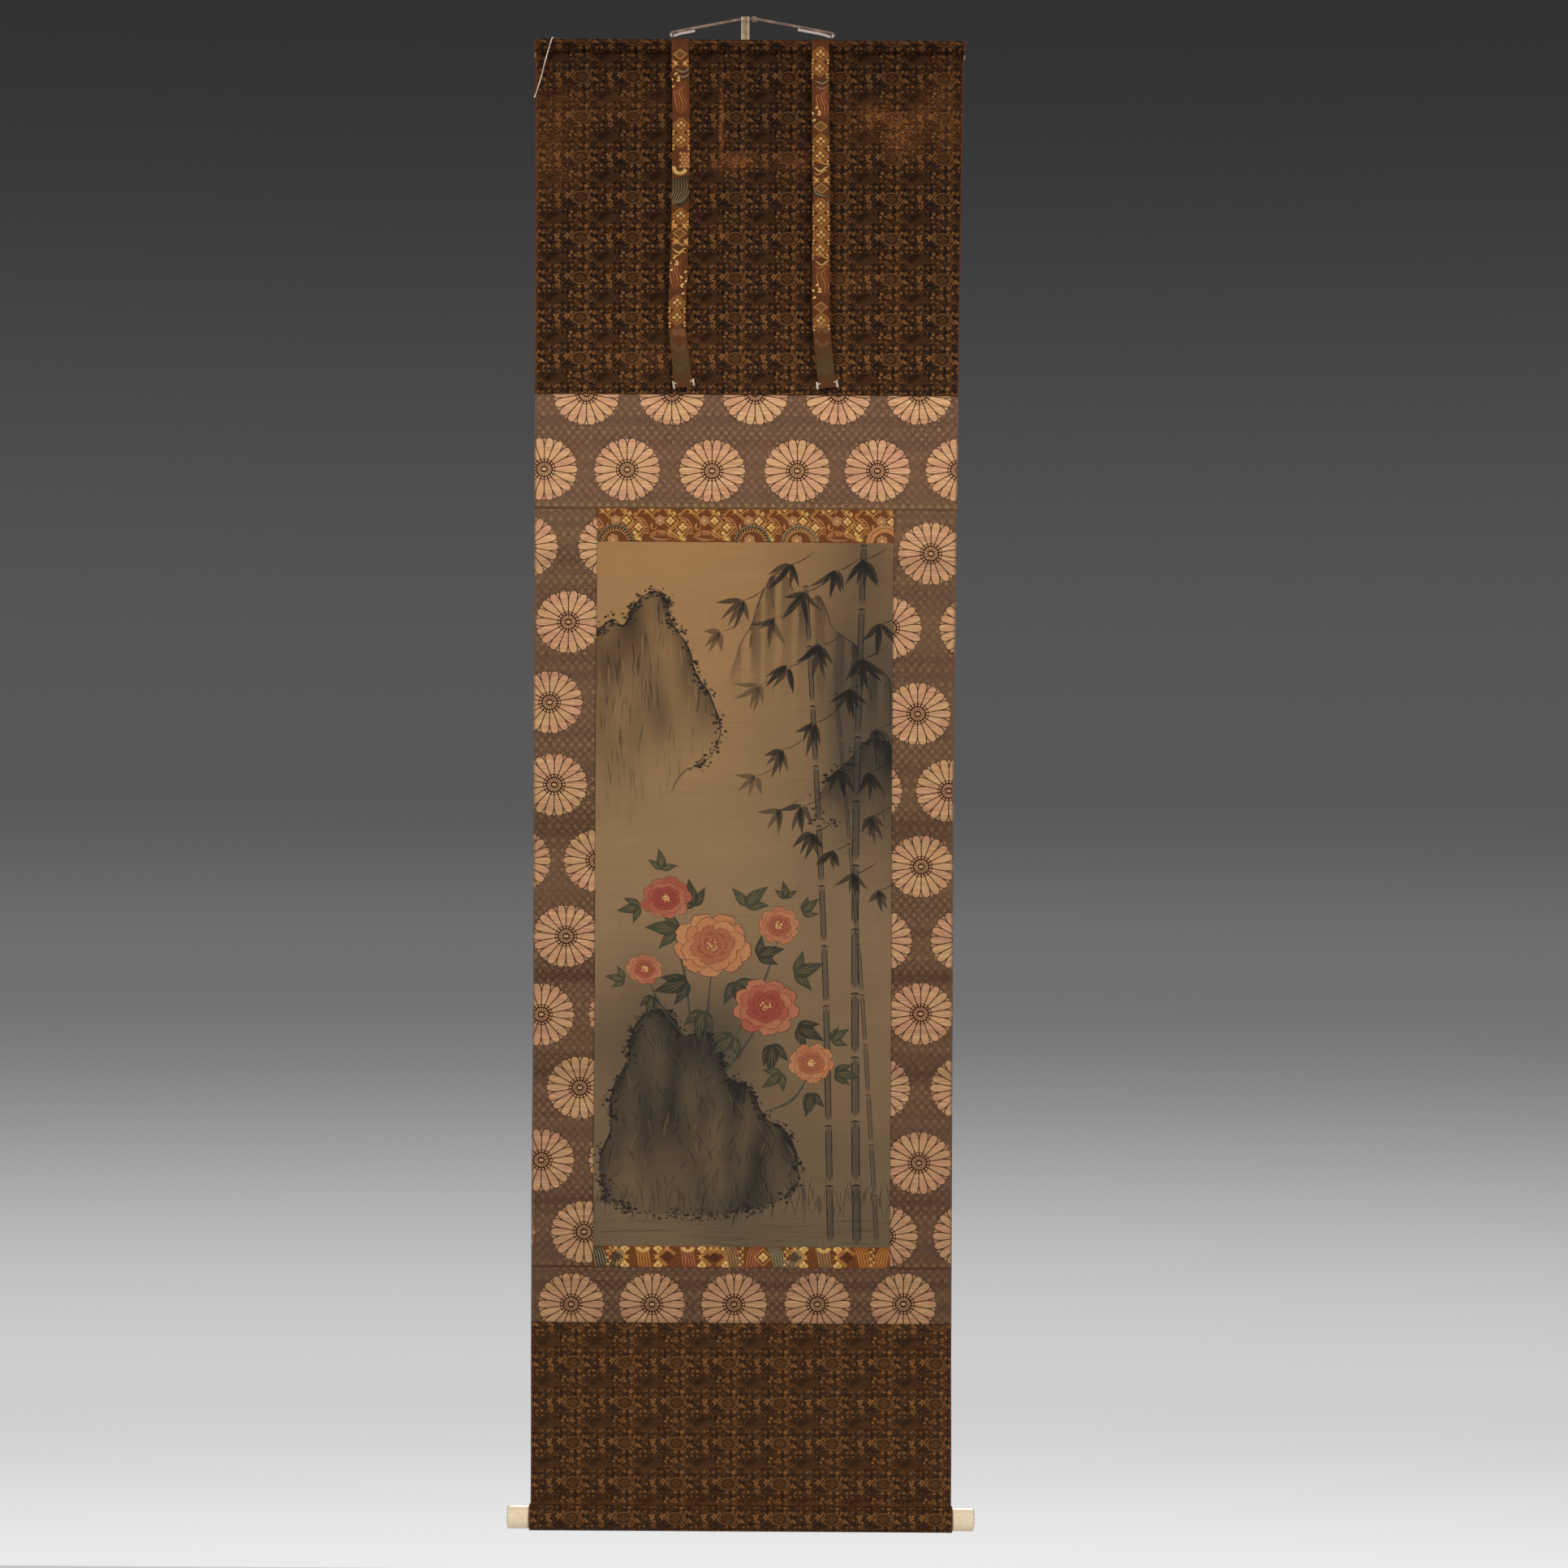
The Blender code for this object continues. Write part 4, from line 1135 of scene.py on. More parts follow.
def make_crag(crag):
    """A crag in ink: washes that fade downwards, texture strokes, a broken outline and moss."""
    pick = random.Random(crag.seed)
    ends = crag.outline + crag.outline[:1]
    rough = [
        (p.x + pick.uniform(-1, 1) * 0.0012, p.y + pick.uniform(-1, 1) * 0.0012)
        for p in smooth([(s, t, 0) for s, t in ends], 5)[:-1]
    ]
    top = min(t for _, t in rough)
    left = min(s for s, _ in rough)
    wide = max(s for s, _ in rough) - left
    tall = max(t for _, t in rough) - top

    def depth(s, t):
        """How far below the crag's own skyline a point is."""
        over = [b for a, b in rough if abs(a - s) < 0.006]
        return t - min(over, default=t)

    def clear(s, t):
        """1 within a crag, falling to 0 towards its foot in the mist. The garden rock stays whole."""
        under = [b for a, b in rough if abs(a - s) < 0.006]
        return 1 if crag.moss > 100 else min(max((max(under, default=t) - t) / (0.3 * tall), 0), 1)

    def wash(s, t):
        planes = cloud(s, t, 38, 12, crag.seed)
        share = crag.wash * (0.40 + 1.05 * planes**1.4) * exp(-depth(s, t) / crag.fade)
        return min(0.93, share * clear(s, t))

    shapes = [Shape(rough, WASH if crag.wash < 0.6 else INK, wash)]
    for k in range(crag.strokes):
        s, t = left + wide * pick.random(), top + tall * pick.random()
        if not inside(rough, s, t):
            continue
        dark = cloud(s, t, 38, 12, crag.seed)
        run = crag.run * pick.uniform(0.5, 1.3)
        lean = crag.lean * pick.uniform(-1, 1) * run
        brush = Brush(pick.uniform(0.0008, 0.0026), 0.4, 0.25)
        strength = crag.wash * exp(-depth(s, t) / (crag.fade * 1.6)) * (0.3 + 0.7 * dark) * clear(s, t)
        points = [(s, t), (s + lean, t + run * 0.5), (s + lean * 1.6, t + run)]
        ink, share = (silk_ground(s, t), 0.75) if k % 3 == 0 else (INK, 1)  # a third are left bare
        shapes.append(stroke(points, brush, ink, min(strength * share, 0.9), pick, 3))
    edge = [p for p in rough if 0.001 < p[0] < 0.356]
    for i in range(0, len(edge) - 6, 5):
        strength = crag.wash * exp(-depth(*edge[i]) / crag.fade)
        if abs(edge[i][0] - edge[i + 5][0]) + abs(edge[i][1] - edge[i + 5][1]) < 0.06:
            brush = Brush(pick.uniform(0.0012, 0.0032) * crag.wash, 0.3, 0.3)
            shapes.append(stroke(edge[i:i + 7:2], brush, INK, min(strength, 0.92), pick, 3))
    for _ in range(crag.moss):
        s, t = edge[int(pick.random() * len(edge))]
        if depth(s, t) > crag.fade * 0.7:
            continue
        for _ in range(5):
            x, y = s + pick.gauss(0, 0.0038), t + pick.gauss(0, 0.0034)
            size = pick.uniform(0.0008, 0.0019)
            strength = pick.uniform(0.5, 0.95) * min(1, crag.wash * 1.15)
            shapes.append(dot(x, y, size * 1.3, size, INK, strength))
    return shapes


CANES = table(  # the bamboo's stems, bowed a little
    "foot head width strength bow",
    ((0.286, 0.846), (0.252, 0.050), 0.0084, 0.84, 0.006),
    ((0.318, 0.850), (0.322, 0.0), 0.0106, 0.93, -0.006),
    ((0.342, 0.846), (0.290, 0.180), 0.0056, 0.60, 0.004),
)
SPRAYS = table(  # clusters of bamboo leaves
    "s t leaves length lean strength",
    (0.322, 0.020, 6, 0.040, 95, 0.92), (0.288, 0.034, 6, 0.036, 105, 0.85),
    (0.250, 0.060, 5, 0.038, 112, 0.92), (0.214, 0.092, 5, 0.034, 118, 0.62),
    (0.342, 0.098, 5, 0.034, 80, 0.86), (0.270, 0.124, 6, 0.038, 100, 0.94),
    (0.232, 0.150, 5, 0.034, 114, 0.90), (0.196, 0.172, 5, 0.032, 122, 0.60),
    (0.306, 0.176, 6, 0.036, 92, 0.92), (0.262, 0.218, 5, 0.034, 108, 0.88),
    (0.338, 0.224, 5, 0.032, 76, 0.70), (0.226, 0.250, 5, 0.032, 116, 0.84),
    (0.296, 0.276, 5, 0.034, 98, 0.94), (0.194, 0.282, 4, 0.028, 124, 0.58),
    (0.250, 0.318, 5, 0.032, 108, 0.82), (0.332, 0.330, 5, 0.030, 82, 0.78),
    (0.286, 0.372, 5, 0.028, 100, 0.80), (0.340, 0.420, 4, 0.026, 78, 0.80),
    (0.176, 0.070, 5, 0.036, 124, 0.86), (0.150, 0.108, 4, 0.030, 128, 0.60),
    (0.234, 0.026, 5, 0.036, 116, 0.90), (0.320, 0.140, 6, 0.038, 88, 0.94),
    (0.330, 0.276, 5, 0.034, 84, 0.90), (0.262, 0.350, 5, 0.032, 104, 0.90),
    (0.222, 0.322, 4, 0.030, 118, 0.66), (0.312, 0.400, 5, 0.030, 92, 0.86),
)


def make_bamboo():
    """Jointed canes with inked rims, then sprays of leaves on fine twigs."""
    pick = random.Random(21)
    shapes = []
    for cane in CANES:
        (x0, y0), (x1, y1) = cane.foot, cane.head
        joints = 11
        for k in range(joints):
            a, b = k / joints + 0.004, (k + 1) / joints - 0.004
            sweep = [a + (b - a) * m / 3 for m in range(4)]
            middle = [(x0 + (x1 - x0) * m + cane.bow * sin(pi * m), y0 + (y1 - y0) * m) for m in sweep]
            width = cane.width * (1 - 0.35 * a)
            shapes.append(stroke(middle, Brush(width, 0.02, 0.02), WASH, cane.strength * 0.75, pick, 3))
            for sign in (-1, 1):
                rim = [(s + sign * width * 0.42, t) for s, t in middle]
                shapes.append(stroke(rim, Brush(0.0011, 0.1, 0.3), INK, cane.strength, pick, 3))
            s, t = middle[-1]
            knot = [(s - width * 0.62, t + 0.0008), (s, t - 0.0010), (s + width * 0.62, t + 0.0008)]
            shapes.append(stroke(knot, Brush(0.0022, 0.3, 0.2), INK, cane.strength, pick, 3))
    for spray in SPRAYS:
        twig = [(spray.s + 0.030, spray.t - 0.016), (spray.s + 0.012, spray.t - 0.004), (spray.s, spray.t)]
        shapes.append(stroke(twig, LINE, INK, spray.strength, pick, 4))
        for k in range(spray.leaves):
            fan = (k / (spray.leaves - 1) - 0.5) * 92
            angle = spray.lean + fan + pick.uniform(-7, 7)
            length = spray.length * pick.uniform(0.84, 1.24) * (1 - 0.2 * abs(fan) / 46)
            shapes.append(leaf(
                spray.s + pick.uniform(-1, 1) * 0.002, spray.t + pick.uniform(-1, 1) * 0.002, length,
                0.0074 * pick.uniform(0.8, 1.15), angle, INK,
                spray.strength * pick.uniform(0.8, 1.0), pick.uniform(-14, 14), 8,
            ))
    return shapes


BLOOMS = table(
    "s t size turn red",
    (0.142, 0.486, 0.046, 12, 0.15), (0.206, 0.560, 0.040, 50, 0.85), (0.086, 0.430, 0.030, 80, 0.90),
    (0.222, 0.462, 0.026, 30, 0.45), (0.262, 0.628, 0.028, 5, 0.30), (0.060, 0.516, 0.022, 60, 0.60),
)


PETAL_RINGS = ((1.0, 9, 27), (0.80, 8, 29), (0.58, 7, 32), (0.36, 5, 42))  # reach, count, half width


def petal(s, t, size, width, angle, pick):
    """A broad wavy petal from the bloom's heart outwards."""
    points = []
    for k in range(13):
        a = -1 + 2 * k / 12
        reach = size * (1 - 0.28 * abs(a) ** 2.4) * (1 + pick.uniform(-0.045, 0.045))
        turn = radians(angle + a * width)
        points.append((s + reach * cos(turn), t + reach * 0.86 * sin(turn)))
    return [(s, t)] + points


def make_bloom(bloom):
    """Four rings of petals, each with a dark rim, a deeper heart and veins, round a cluster of stamens."""
    pick = random.Random(int(bloom.s * 10000))
    outer = blend(ORANGE, CORAL, bloom.red)
    shapes = []
    for ring, (share, count, width) in enumerate(PETAL_RINGS):
        for k in range(count):
            angle = bloom.turn + ring * 21 + 360 * k / count + pick.uniform(-6, 6)
            size = bloom.size * share * pick.uniform(0.92, 1.06)
            points = petal(bloom.s, bloom.t, size, width, angle, pick)
            tone = blend(outer, PALE, pick.uniform(0.0, 0.30)) if ring < 2 else blend(outer, DEEP_RED, 0.3)

            def scaled(share):
                return [(bloom.s + (s - bloom.s) * share, bloom.t + (t - bloom.t) * share) for s, t in points]

            def glow(s, t, size=size):
                return min(0.94, 0.66 + 0.28 * (hypot(s - bloom.s, t - bloom.t) / size) ** 2)

            shapes.append(Shape(scaled(1.025), PETAL_RIM, 0.85))
            shapes.append(Shape(points, tone, 0.96))
            shapes.append(Shape(scaled(0.72), blend(tone, DEEP_RED, 0.55), glow))
            for offset in (-0.45, 0.0, 0.45):
                turn = radians(angle + offset * width)
                vein = [
                    (bloom.s + size * m * cos(turn), bloom.t + size * m * 0.86 * sin(turn))
                    for m in (0.55, 0.74, 0.92)
                ]
                shapes.append(stroke(vein, FINE, DEEP_RED, 0.5, pick, 3))
    for _ in range(26):
        a, r = pick.uniform(0, 2 * pi), bloom.size * 0.17 * sqrt(pick.random())
        shapes.append(dot(bloom.s + r * cos(a), bloom.t + r * sin(a), 0.0008, 0.0008, STAMEN, 0.9, 6))
    return shapes


SPRIGS = table(  # peony leaves, of three lobes each
    "s t size angle dark",
    (0.100, 0.470, 0.040, 200, 0.5), (0.112, 0.530, 0.042, 150, 0.9), (0.170, 0.530, 0.040, 70, 0.7),
    (0.182, 0.440, 0.036, 300, 0.4), (0.120, 0.440, 0.034, 250, 0.8), (0.240, 0.520, 0.038, 350, 0.6),
    (0.244, 0.586, 0.036, 20, 0.9), (0.168, 0.596, 0.036, 130, 0.6), (0.214, 0.606, 0.036, 80, 0.9),
    (0.054, 0.440, 0.028, 170, 0.6), (0.080, 0.396, 0.026, 280, 0.5), (0.196, 0.500, 0.034, 330, 0.9),
    (0.250, 0.446, 0.026, 330, 0.6), (0.290, 0.640, 0.030, 10, 0.7), (0.262, 0.664, 0.030, 90, 0.9),
    (0.070, 0.548, 0.026, 110, 0.9), (0.036, 0.528, 0.024, 190, 0.5), (0.130, 0.566, 0.036, 100, 0.7),
    (0.226, 0.640, 0.030, 130, 0.5), (0.286, 0.602, 0.026, 320, 0.6), (0.230, 0.430, 0.022, 270, 0.8),
)
STEMS = (
    ((0.128, 0.640), (0.136, 0.570), (0.142, 0.500)), ((0.150, 0.650), (0.180, 0.610), (0.204, 0.572)),
    ((0.118, 0.600), (0.108, 0.520), (0.088, 0.444)), ((0.168, 0.600), (0.204, 0.530), (0.222, 0.474)),
    ((0.200, 0.690), (0.240, 0.672), (0.260, 0.640)), ((0.110, 0.600), (0.080, 0.560), (0.062, 0.524)),
)


def make_foliage():
    """The peonies' stems and leaves, veined in a paler green."""
    pick = random.Random(31)
    shapes = [stroke(stem, Brush(0.0034, 0.5, 0.2), LEAF_GREY, 0.85, pick, 6) for stem in STEMS]
    for sprig in SPRIGS:
        green = blend(LEAF_GREEN, INK, sprig.dark * 0.75)
        for lobe, reach in ((-46, 0.78), (46, 0.78), (0, 1.0)):
            angle = sprig.angle + lobe + pick.uniform(-8, 8)
            length = sprig.size * reach
            bend = pick.uniform(-18, 18)
            shapes.append(leaf(sprig.s, sprig.t, length * 1.03, length * 0.50, angle, INK, 0.7, bend, 9))
            shapes.append(leaf(sprig.s, sprig.t, length, length * 0.44, angle, green, 0.9, bend, 9))
            for side in (0, -1, 1):
                turn = radians(angle + bend * 0.5 + side * 11)
                vein = [
                    (sprig.s + length * m * cos(turn), sprig.t + length * m * sin(turn))
                    for m in (0.1, 0.45, 0.86 if side == 0 else 0.7)
                ]
                shapes.append(stroke(vein, FINE, blend(green, PALE, 0.45), 0.6, pick, 3))
    return shapes


def make_ground_lines():
    """Grass round the rock's foot and slow water before it."""
    pick = random.Random(41)
    shapes = []
    for _ in range(120):
        s = pick.choice((pick.uniform(0.0, 0.26), pick.uniform(0.24, PICTURE_WIDE)))
        t = 0.806 + pick.uniform(-0.012, 0.016)
        run, lean = pick.uniform(0.014, 0.040), pick.uniform(-0.5, 0.5)
        blade = [(s, t), (s + lean * run * 0.4, t - run * 0.6), (s + lean * run, t - run * 0.95)]
        shapes.append(stroke(blade, Brush(0.0011, 0.6, 0.1), INK, pick.uniform(0.4, 0.85), pick, 3))
    for k in range(44):
        t = 0.815 + 0.034 * pick.random()
        s = pick.uniform(-0.02, 0.33)
        run = pick.uniform(0.03, 0.09)
        wave = [(s + run * m / 4, t + 0.0016 * sin(m * 1.4 + k)) for m in range(5)]
        shapes.append(stroke(wave, FINE, INK, pick.uniform(0.3, 0.6), pick, 4))
    return shapes


def painting_shapes():
    """The whole painting, from what lies furthest back to what lies in front."""
    shapes = []
    for crag in CRAGS[:3]:
        shapes += make_crag(crag)
    shapes += make_bamboo()
    shapes += make_crag(CRAGS[3])
    shapes += make_foliage()
    for bloom in sorted(BLOOMS, key=lambda b: b.size):
        shapes += make_bloom(bloom)
    return shapes + make_ground_lines()


def silk_ground(s, t):
    """Tan silk, under grey-green washes that gather low down and behind the bamboo."""
    down = t / PICTURE_TALL
    colour = blend(srgb(154, 115, 73), srgb(138, 110, 78), min(down * 2, 1))
    low = min(max((down - 0.55) / 0.4, 0), 1)
    colour = blend(colour, srgb(92, 78, 60), 0.85 * low * (0.7 + 0.5 * cloud(s, t, 9, 16, 2.0)))
    mist = exp(-(((s - 0.33) / 0.10) ** 2) - ((t - 0.20) / 0.26) ** 2)
    mist += 0.8 * exp(-(((s - 0.10) / 0.12) ** 2) - ((t - 0.60) / 0.10) ** 2)
    return blend(colour, WASH, min(0.85, mist * (0.50 + 0.85 * cloud(s, t, 14, 9, 5.0))))


# ------------------------------------------------------------------ the gold brocade's figures
GOLD_GROUND = srgb(114, 64, 29)
GOLD_DARK = srgb(78, 40, 20)
GOLD_BRIGHT = srgb(230, 182, 106)
GOLD_BAND = srgb(200, 140, 70)
GOLD_WING = srgb(196, 130, 78)
GOLD_PINK = srgb(182, 128, 84)
GOLD_YELLOW = srgb(220, 184, 100)
GOLD_GREY = srgb(160, 146, 114)
GOLD_GREEN = srgb(50, 44, 26)
GOLD_DUSK = srgb(106, 84, 54)
GOLD_REPEAT = 0.0534
BAND_HALF = 0.00125
HATCH = 0.0015
CLUSTER = 0.0029
LOZENGE_HALF = 0.0022
RING_DROP = 0.0410
RING_RADIUS = 0.0225


def millimetres(s, t):
    """A function that gives the place of (x, y) millimetres from a point."""
    return lambda x, y: (s + x / 1000, t + y / 1000)


def bar(a, b, width, colour, strength=0.95):
    """A straight thread-wide bar between two points."""
    run = hypot(b[0] - a[0], b[1] - a[1])
    x, y = (b[1] - a[1]) / run * width / 2, (a[0] - b[0]) / run * width / 2
    corners = [(a[0] + x, a[1] + y), (b[0] + x, b[1] + y), (b[0] - x, b[1] - y), (a[0] - x, a[1] - y)]
    return Shape(corners, colour, strength)


def diamond(s, t, wide, tall):
    """A diamond's corners, from the top."""
    return [(s, t - tall), (s + wide, t), (s, t + tall), (s - wide, t)]


def lozenge(s, t, half, colour, strength=0.97):
    """A diamond with its corners nipped off."""
    nip = half * 0.22
    points = [(half, nip), (nip, half), (-nip, half), (-half, nip)]
    points += [(-x, -y) for x, y in points]
    return Shape([(s + x, t + y) for x, y in points], colour, strength)


def cluster(s, t, scale=1.0):
    """Four bright diamonds set in a diamond."""
    reach = CLUSTER * scale
    return [
        lozenge(x, y, LOZENGE_HALF * scale, blend(GOLD_BRIGHT, GOLD_BAND, 0.25 * (k % 3)))
        for k, (x, y) in enumerate(diamond(s, t, reach, reach))
    ]


def framed(s, t, scale=1.0):
    """Four bright diamonds in a dark diamond edged with gold."""
    shapes = []
    for share, colour in ((0.0096, GOLD_BAND), (0.0082, GOLD_DARK), (0.0070, GOLD_GROUND)):
        shapes.append(Shape(diamond(s, t, share * scale, share * scale), colour, 0.9))
    return shapes + cluster(s, t, scale)


def band(a, b, colour=GOLD_BAND):
    """A double line with short hatching across it."""
    run = hypot(b[0] - a[0], b[1] - a[1])
    ahead = ((b[0] - a[0]) / run, (b[1] - a[1]) / run)
    x, y = ahead[1] * BAND_HALF, -ahead[0] * BAND_HALF
    shapes = [
        bar((a[0] + x * k, a[1] + y * k), (b[0] + x * k, b[1] + y * k), 0.0008, colour) for k in (1, -1)
    ]
    for k in range(1, int(run / HATCH)):
        s, t = a[0] + ahead[0] * HATCH * k, a[1] + ahead[1] * HATCH * k
        shapes.append(bar((s - x * 0.7, t - y * 0.7), (s + x * 0.7, t + y * 0.7), 0.00055, colour, 0.8))
    return shapes


def knot(s, t):
    """Where bands meet: a small cross over two short bars."""
    shapes = []
    for y in (-0.0021, 0.0021):
        shapes.append(bar((s - 0.0042, t + y), (s + 0.0042, t + y), 0.0006, GOLD_BAND, 0.85))
    for y in (0.0018, -0.0018):
        shapes.append(bar((s - 0.0022, t - y), (s + 0.0022, t + y), 0.0009, GOLD_BAND))
    return shapes + [lozenge(s, t, 0.0012, GOLD_YELLOW)]


def comb(points, tooth, sweep, count, colour, pick):
    """A feather: a curved quill with curved barbs along one side."""
    quill = smooth([(s, t, 0) for s, t in points], 6)
    shapes = [stroke(points, Brush(0.0011, 0.4, 0.05), colour, 0.95, pick, 5)]
    ahead = (quill[-1] - quill[0]).normalized()
    turn = atan2(ahead.y, ahead.x) + radians(sweep)
    for k in range(count):
        x, y, _ = quill[round((k + 0.5) / count * (len(quill) - 1))]
        length = tooth * sin(pi * (0.18 + 0.7 * (k + 0.5) / count))
        tip = (x + length * cos(turn), y + length * sin(turn))
        bow = (x + length * 0.55 * cos(turn - 0.35), y + length * 0.55 * sin(turn - 0.35))
        shapes.append(stroke([(x, y), bow, tip], Brush(0.00105, 0.4, 0.0), colour, 0.92, pick, 3))
    return shapes


def rosette(s, t, size):
    """A cloud of round lobes with a bright eye."""
    shapes = []
    for rim, tone in ((1.14, GOLD_DARK), (1.0, GOLD_PINK)):
        for k in range(6):
            a = 2 * pi * k / 6 + 0.4
            lobe = size * 0.44 * rim
            shapes.append(dot(s + size * 0.62 * cos(a), t + size * 0.62 * sin(a), lobe, lobe, tone, 0.9, 9))
    shapes.append(dot(s, t, size * 0.42, size * 0.42, GOLD_PINK, 0.9, 9))
    shapes.append(dot(s, t, size * 0.2, size * 0.2, GOLD_BRIGHT, 0.97, 8))
    return shapes


def sprig(s, t, size, turn):
    """Small leaves that fan from one stem."""
    return [
        leaf(s, t, size * reach, size * 0.26, turn + angle, GOLD_YELLOW, 0.95, 20, 5)
        for angle, reach in ((-70, 0.7), (-35, 0.95), (0, 1.0), (35, 0.9), (75, 0.65))
    ]


def feather_ring(s, t, size, rim, pick):
    """A dark round with a grey rim and a barbed ring."""
    shapes = [dot(s, t, size, size, rim, 0.9, 40), dot(s, t, size * 0.62, size * 0.62, GOLD_GROUND, 0.95, 32)]
    for reach, colour, width in (
        (0.94, GOLD_GREY, 0.0009), (0.84, GOLD_DARK, 0.0009), (0.66, GOLD_BAND, 0.0008)
    ):
        ring = [(s + size * reach * cos(a), t + size * reach * sin(a)) for a in spread(pi, 2 * pi, 8)]
        shapes.append(stroke(ring, Brush(width, 0.1, 0.0), colour, 0.9, pick, 4))
    for k in range(15):
        a = pi + pi * (k + 0.5) / 15
        inner = (s + size * 0.68 * cos(a), t + size * 0.68 * sin(a))
        outer = (s + size * 0.86 * cos(a + 0.12), t + size * 0.86 * sin(a + 0.12))
        shapes.append(bar(inner, outer, 0.0012, GOLD_WING, 0.9))
    shapes += rosette(s - size * 0.14, t - size * 0.16, size * 0.30)
    return shapes


def gold_repeat(s, t, pick):
    """One repeat of the brocade from its left, its top at t."""
    at = millimetres(s, t)
    shapes = []
    for a, b in (((0, 9), (10, -2)), ((12, -2), (26, 13)), ((32, -2), (28, 4)), ((36, -2), (53, 16)),
                 ((53, 18), (43, 27)), ((43, 27), (52, 36)), ((0, 16), (-4, 22))):
        shapes += band(at(*a), at(*b))
    for place in ((15, 3.5), (43, 3.0), (43, 27), (3, 35)):
        shapes += knot(*at(*place))
    for place in ((5.5, 22), (44, 14.5), (22, -1.5), (57, 29)):
        shapes += framed(*at(*place))
    shapes += comb([at(2.5, 9.5), at(11, 12.5), at(17, 22), at(18, 31)], 0.0085, 128, 11, GOLD_WING, pick)
    shapes += comb([at(18, 31.5), at(27, 27), at(38, 27.5), at(47, 34)], 0.0062, 78, 15, GOLD_WING, pick)
    shapes += comb([at(19, 33), at(30, 36.5), at(44, 36)], 0.0030, 96, 13, GOLD_PINK, pick)
    shapes.append(stroke([at(20, 18.5), at(21.5, 24), at(26, 24), at(28, 19.5)], LINE, GOLD_BAND, 0.9, pick))
    shapes.append(leaf(*at(22, 23.5), 0.007, 0.0030, -112, GOLD_WING, 0.9, 30))
    shapes += rosette(*at(31.5, 14), 0.0062)
    shapes += sprig(*at(6.5, 38), 0.0060, -90)
    shapes += sprig(*at(50, 5), 0.0050, 150)
    return shapes


LOW_MOTIFS = table(
    "kind x lean colour",
    ("plumes", 7, 5, "dark"), ("column", 19, 0, None), ("plumes", 31, -6, "dark"),
    ("angle", 36, -1, None), ("fringe", 60, 3, "wing"), ("angle", 80, 1, None), ("fringe", 114, 3, "red"),
    ("angle", 133, 1, None), ("angle", 158, -1, None), ("plumes", 168, 4, "dusk"),
    ("column", 179, 0, None), ("plumes", 194, -4, "red"), ("framed", 205, 0, None),
    ("plumes", 222, 5, "grey"), ("column", 233, 0, None), ("plumes", 246, -5, "grey"),
    ("angle", 252, -1, None), ("fringe", 278, 3, "dusk"), ("angle", 297, 1, None),
    ("plumes", 326, 4, "wing"), ("column", 337, 0, None), ("plumes", 349, -5, "wing"),
)
FIELDS = {
    "dark": (GOLD_GREEN, GOLD_GREY), "dusk": (GOLD_DUSK, GOLD_WING), "grey": (srgb(96, 84, 58), GOLD_GREY),
    "wing": (srgb(146, 84, 36), GOLD_BAND), "red": (srgb(132, 62, 34), GOLD_PINK),
}


def low_motif(motif, pick):
    """The shapes of one motif on the lower strip, hung from its place along the strip in millimetres."""

    def at(x, y):
        return (motif.x + x) / 1000, y / 1000

    shapes = []
    if motif.kind in ("plumes", "fringe"):
        field, line = FIELDS[motif.colour]
        lean = motif.lean
        corners = [at(-8 - lean, -2), at(8 - lean, -2), at(9 + lean, 28), at(-8 + lean, 28)]
        shapes.append(Shape(corners, field, 0.85))
        for k in range(5):
            x = -7 + 3.4 * k
            points = [at(x - lean, 0), at(x, 9), at(x + lean * 0.4, 18), at(x + lean, 27)]
            shapes.append(stroke(points, Brush(0.0010, 0.3, 0.1), line, 0.9, pick, 5))
        if motif.kind == "fringe":
            for k in range(11):
                a = radians(12 + 15.6 * k)
                ends = [at(3 * cos(a), 1 + 2.5 * sin(a)), at(10 * cos(a), 1 + 7.5 * sin(a))]
                shapes.append(stroke(ends, Brush(0.0017, 0.5, 0.0), GOLD_BRIGHT, 0.95, pick, 3))
    elif motif.kind == "column":
        for k in range(7):
            turn = 40 + 100 * (k % 2)
            shapes.append(leaf(*at(0, 1 + 4 * k), 0.0046, 0.0030, turn, GOLD_YELLOW, 0.9, 20, 5))
            shapes.append(lozenge(*at(1.5 * (-1) ** k, 3 + 4 * k), 0.0012, GOLD_WING))
    elif motif.kind == "angle":
        side = motif.lean
        tip, top, low = at(-4 * side, 13), at(9 * side, 2.5), at(9 * side, 23.5)
        shapes += cluster(*at(-2 * side, 3), 1.1) + cluster(*at(-2 * side, 23), 1.1)
        shapes += band(tip, top) + band(tip, low) + band(top, at(19 * side, 10)) + knot(*tip) + knot(*top)
        centre = [at(2 * side, 13), at(10 * side, 6.5), at(18 * side, 13), at(10 * side, 19.5)]
        shapes.append(Shape(centre, GOLD_DARK, 0.7))
    else:
        shapes += framed(*at(0, 13), 1.15)
    return shapes


def gold_shapes(name):
    """The figures on one cut of the brocade."""
    pick = random.Random(len(name) * 7 + 3)
    shapes = []
    if name == "gold_strip_top":
        for k in range(-1, 7):
            shapes += gold_repeat(0.0440 + k * GOLD_REPEAT, 0.0, pick)
        for s, rim in ((0.0220, GOLD_GREEN), (0.1870, GOLD_GREEN), (0.2440, GOLD_DUSK), (0.3470, GOLD_WING)):
            shapes += feather_ring(s, RING_DROP, RING_RADIUS, rim, pick)
    elif name == "gold_strip_bottom":
        for motif in LOW_MOTIFS:
            shapes += low_motif(motif, pick)
    else:
        shapes += ribbon_figures(name, pick)
    return shapes


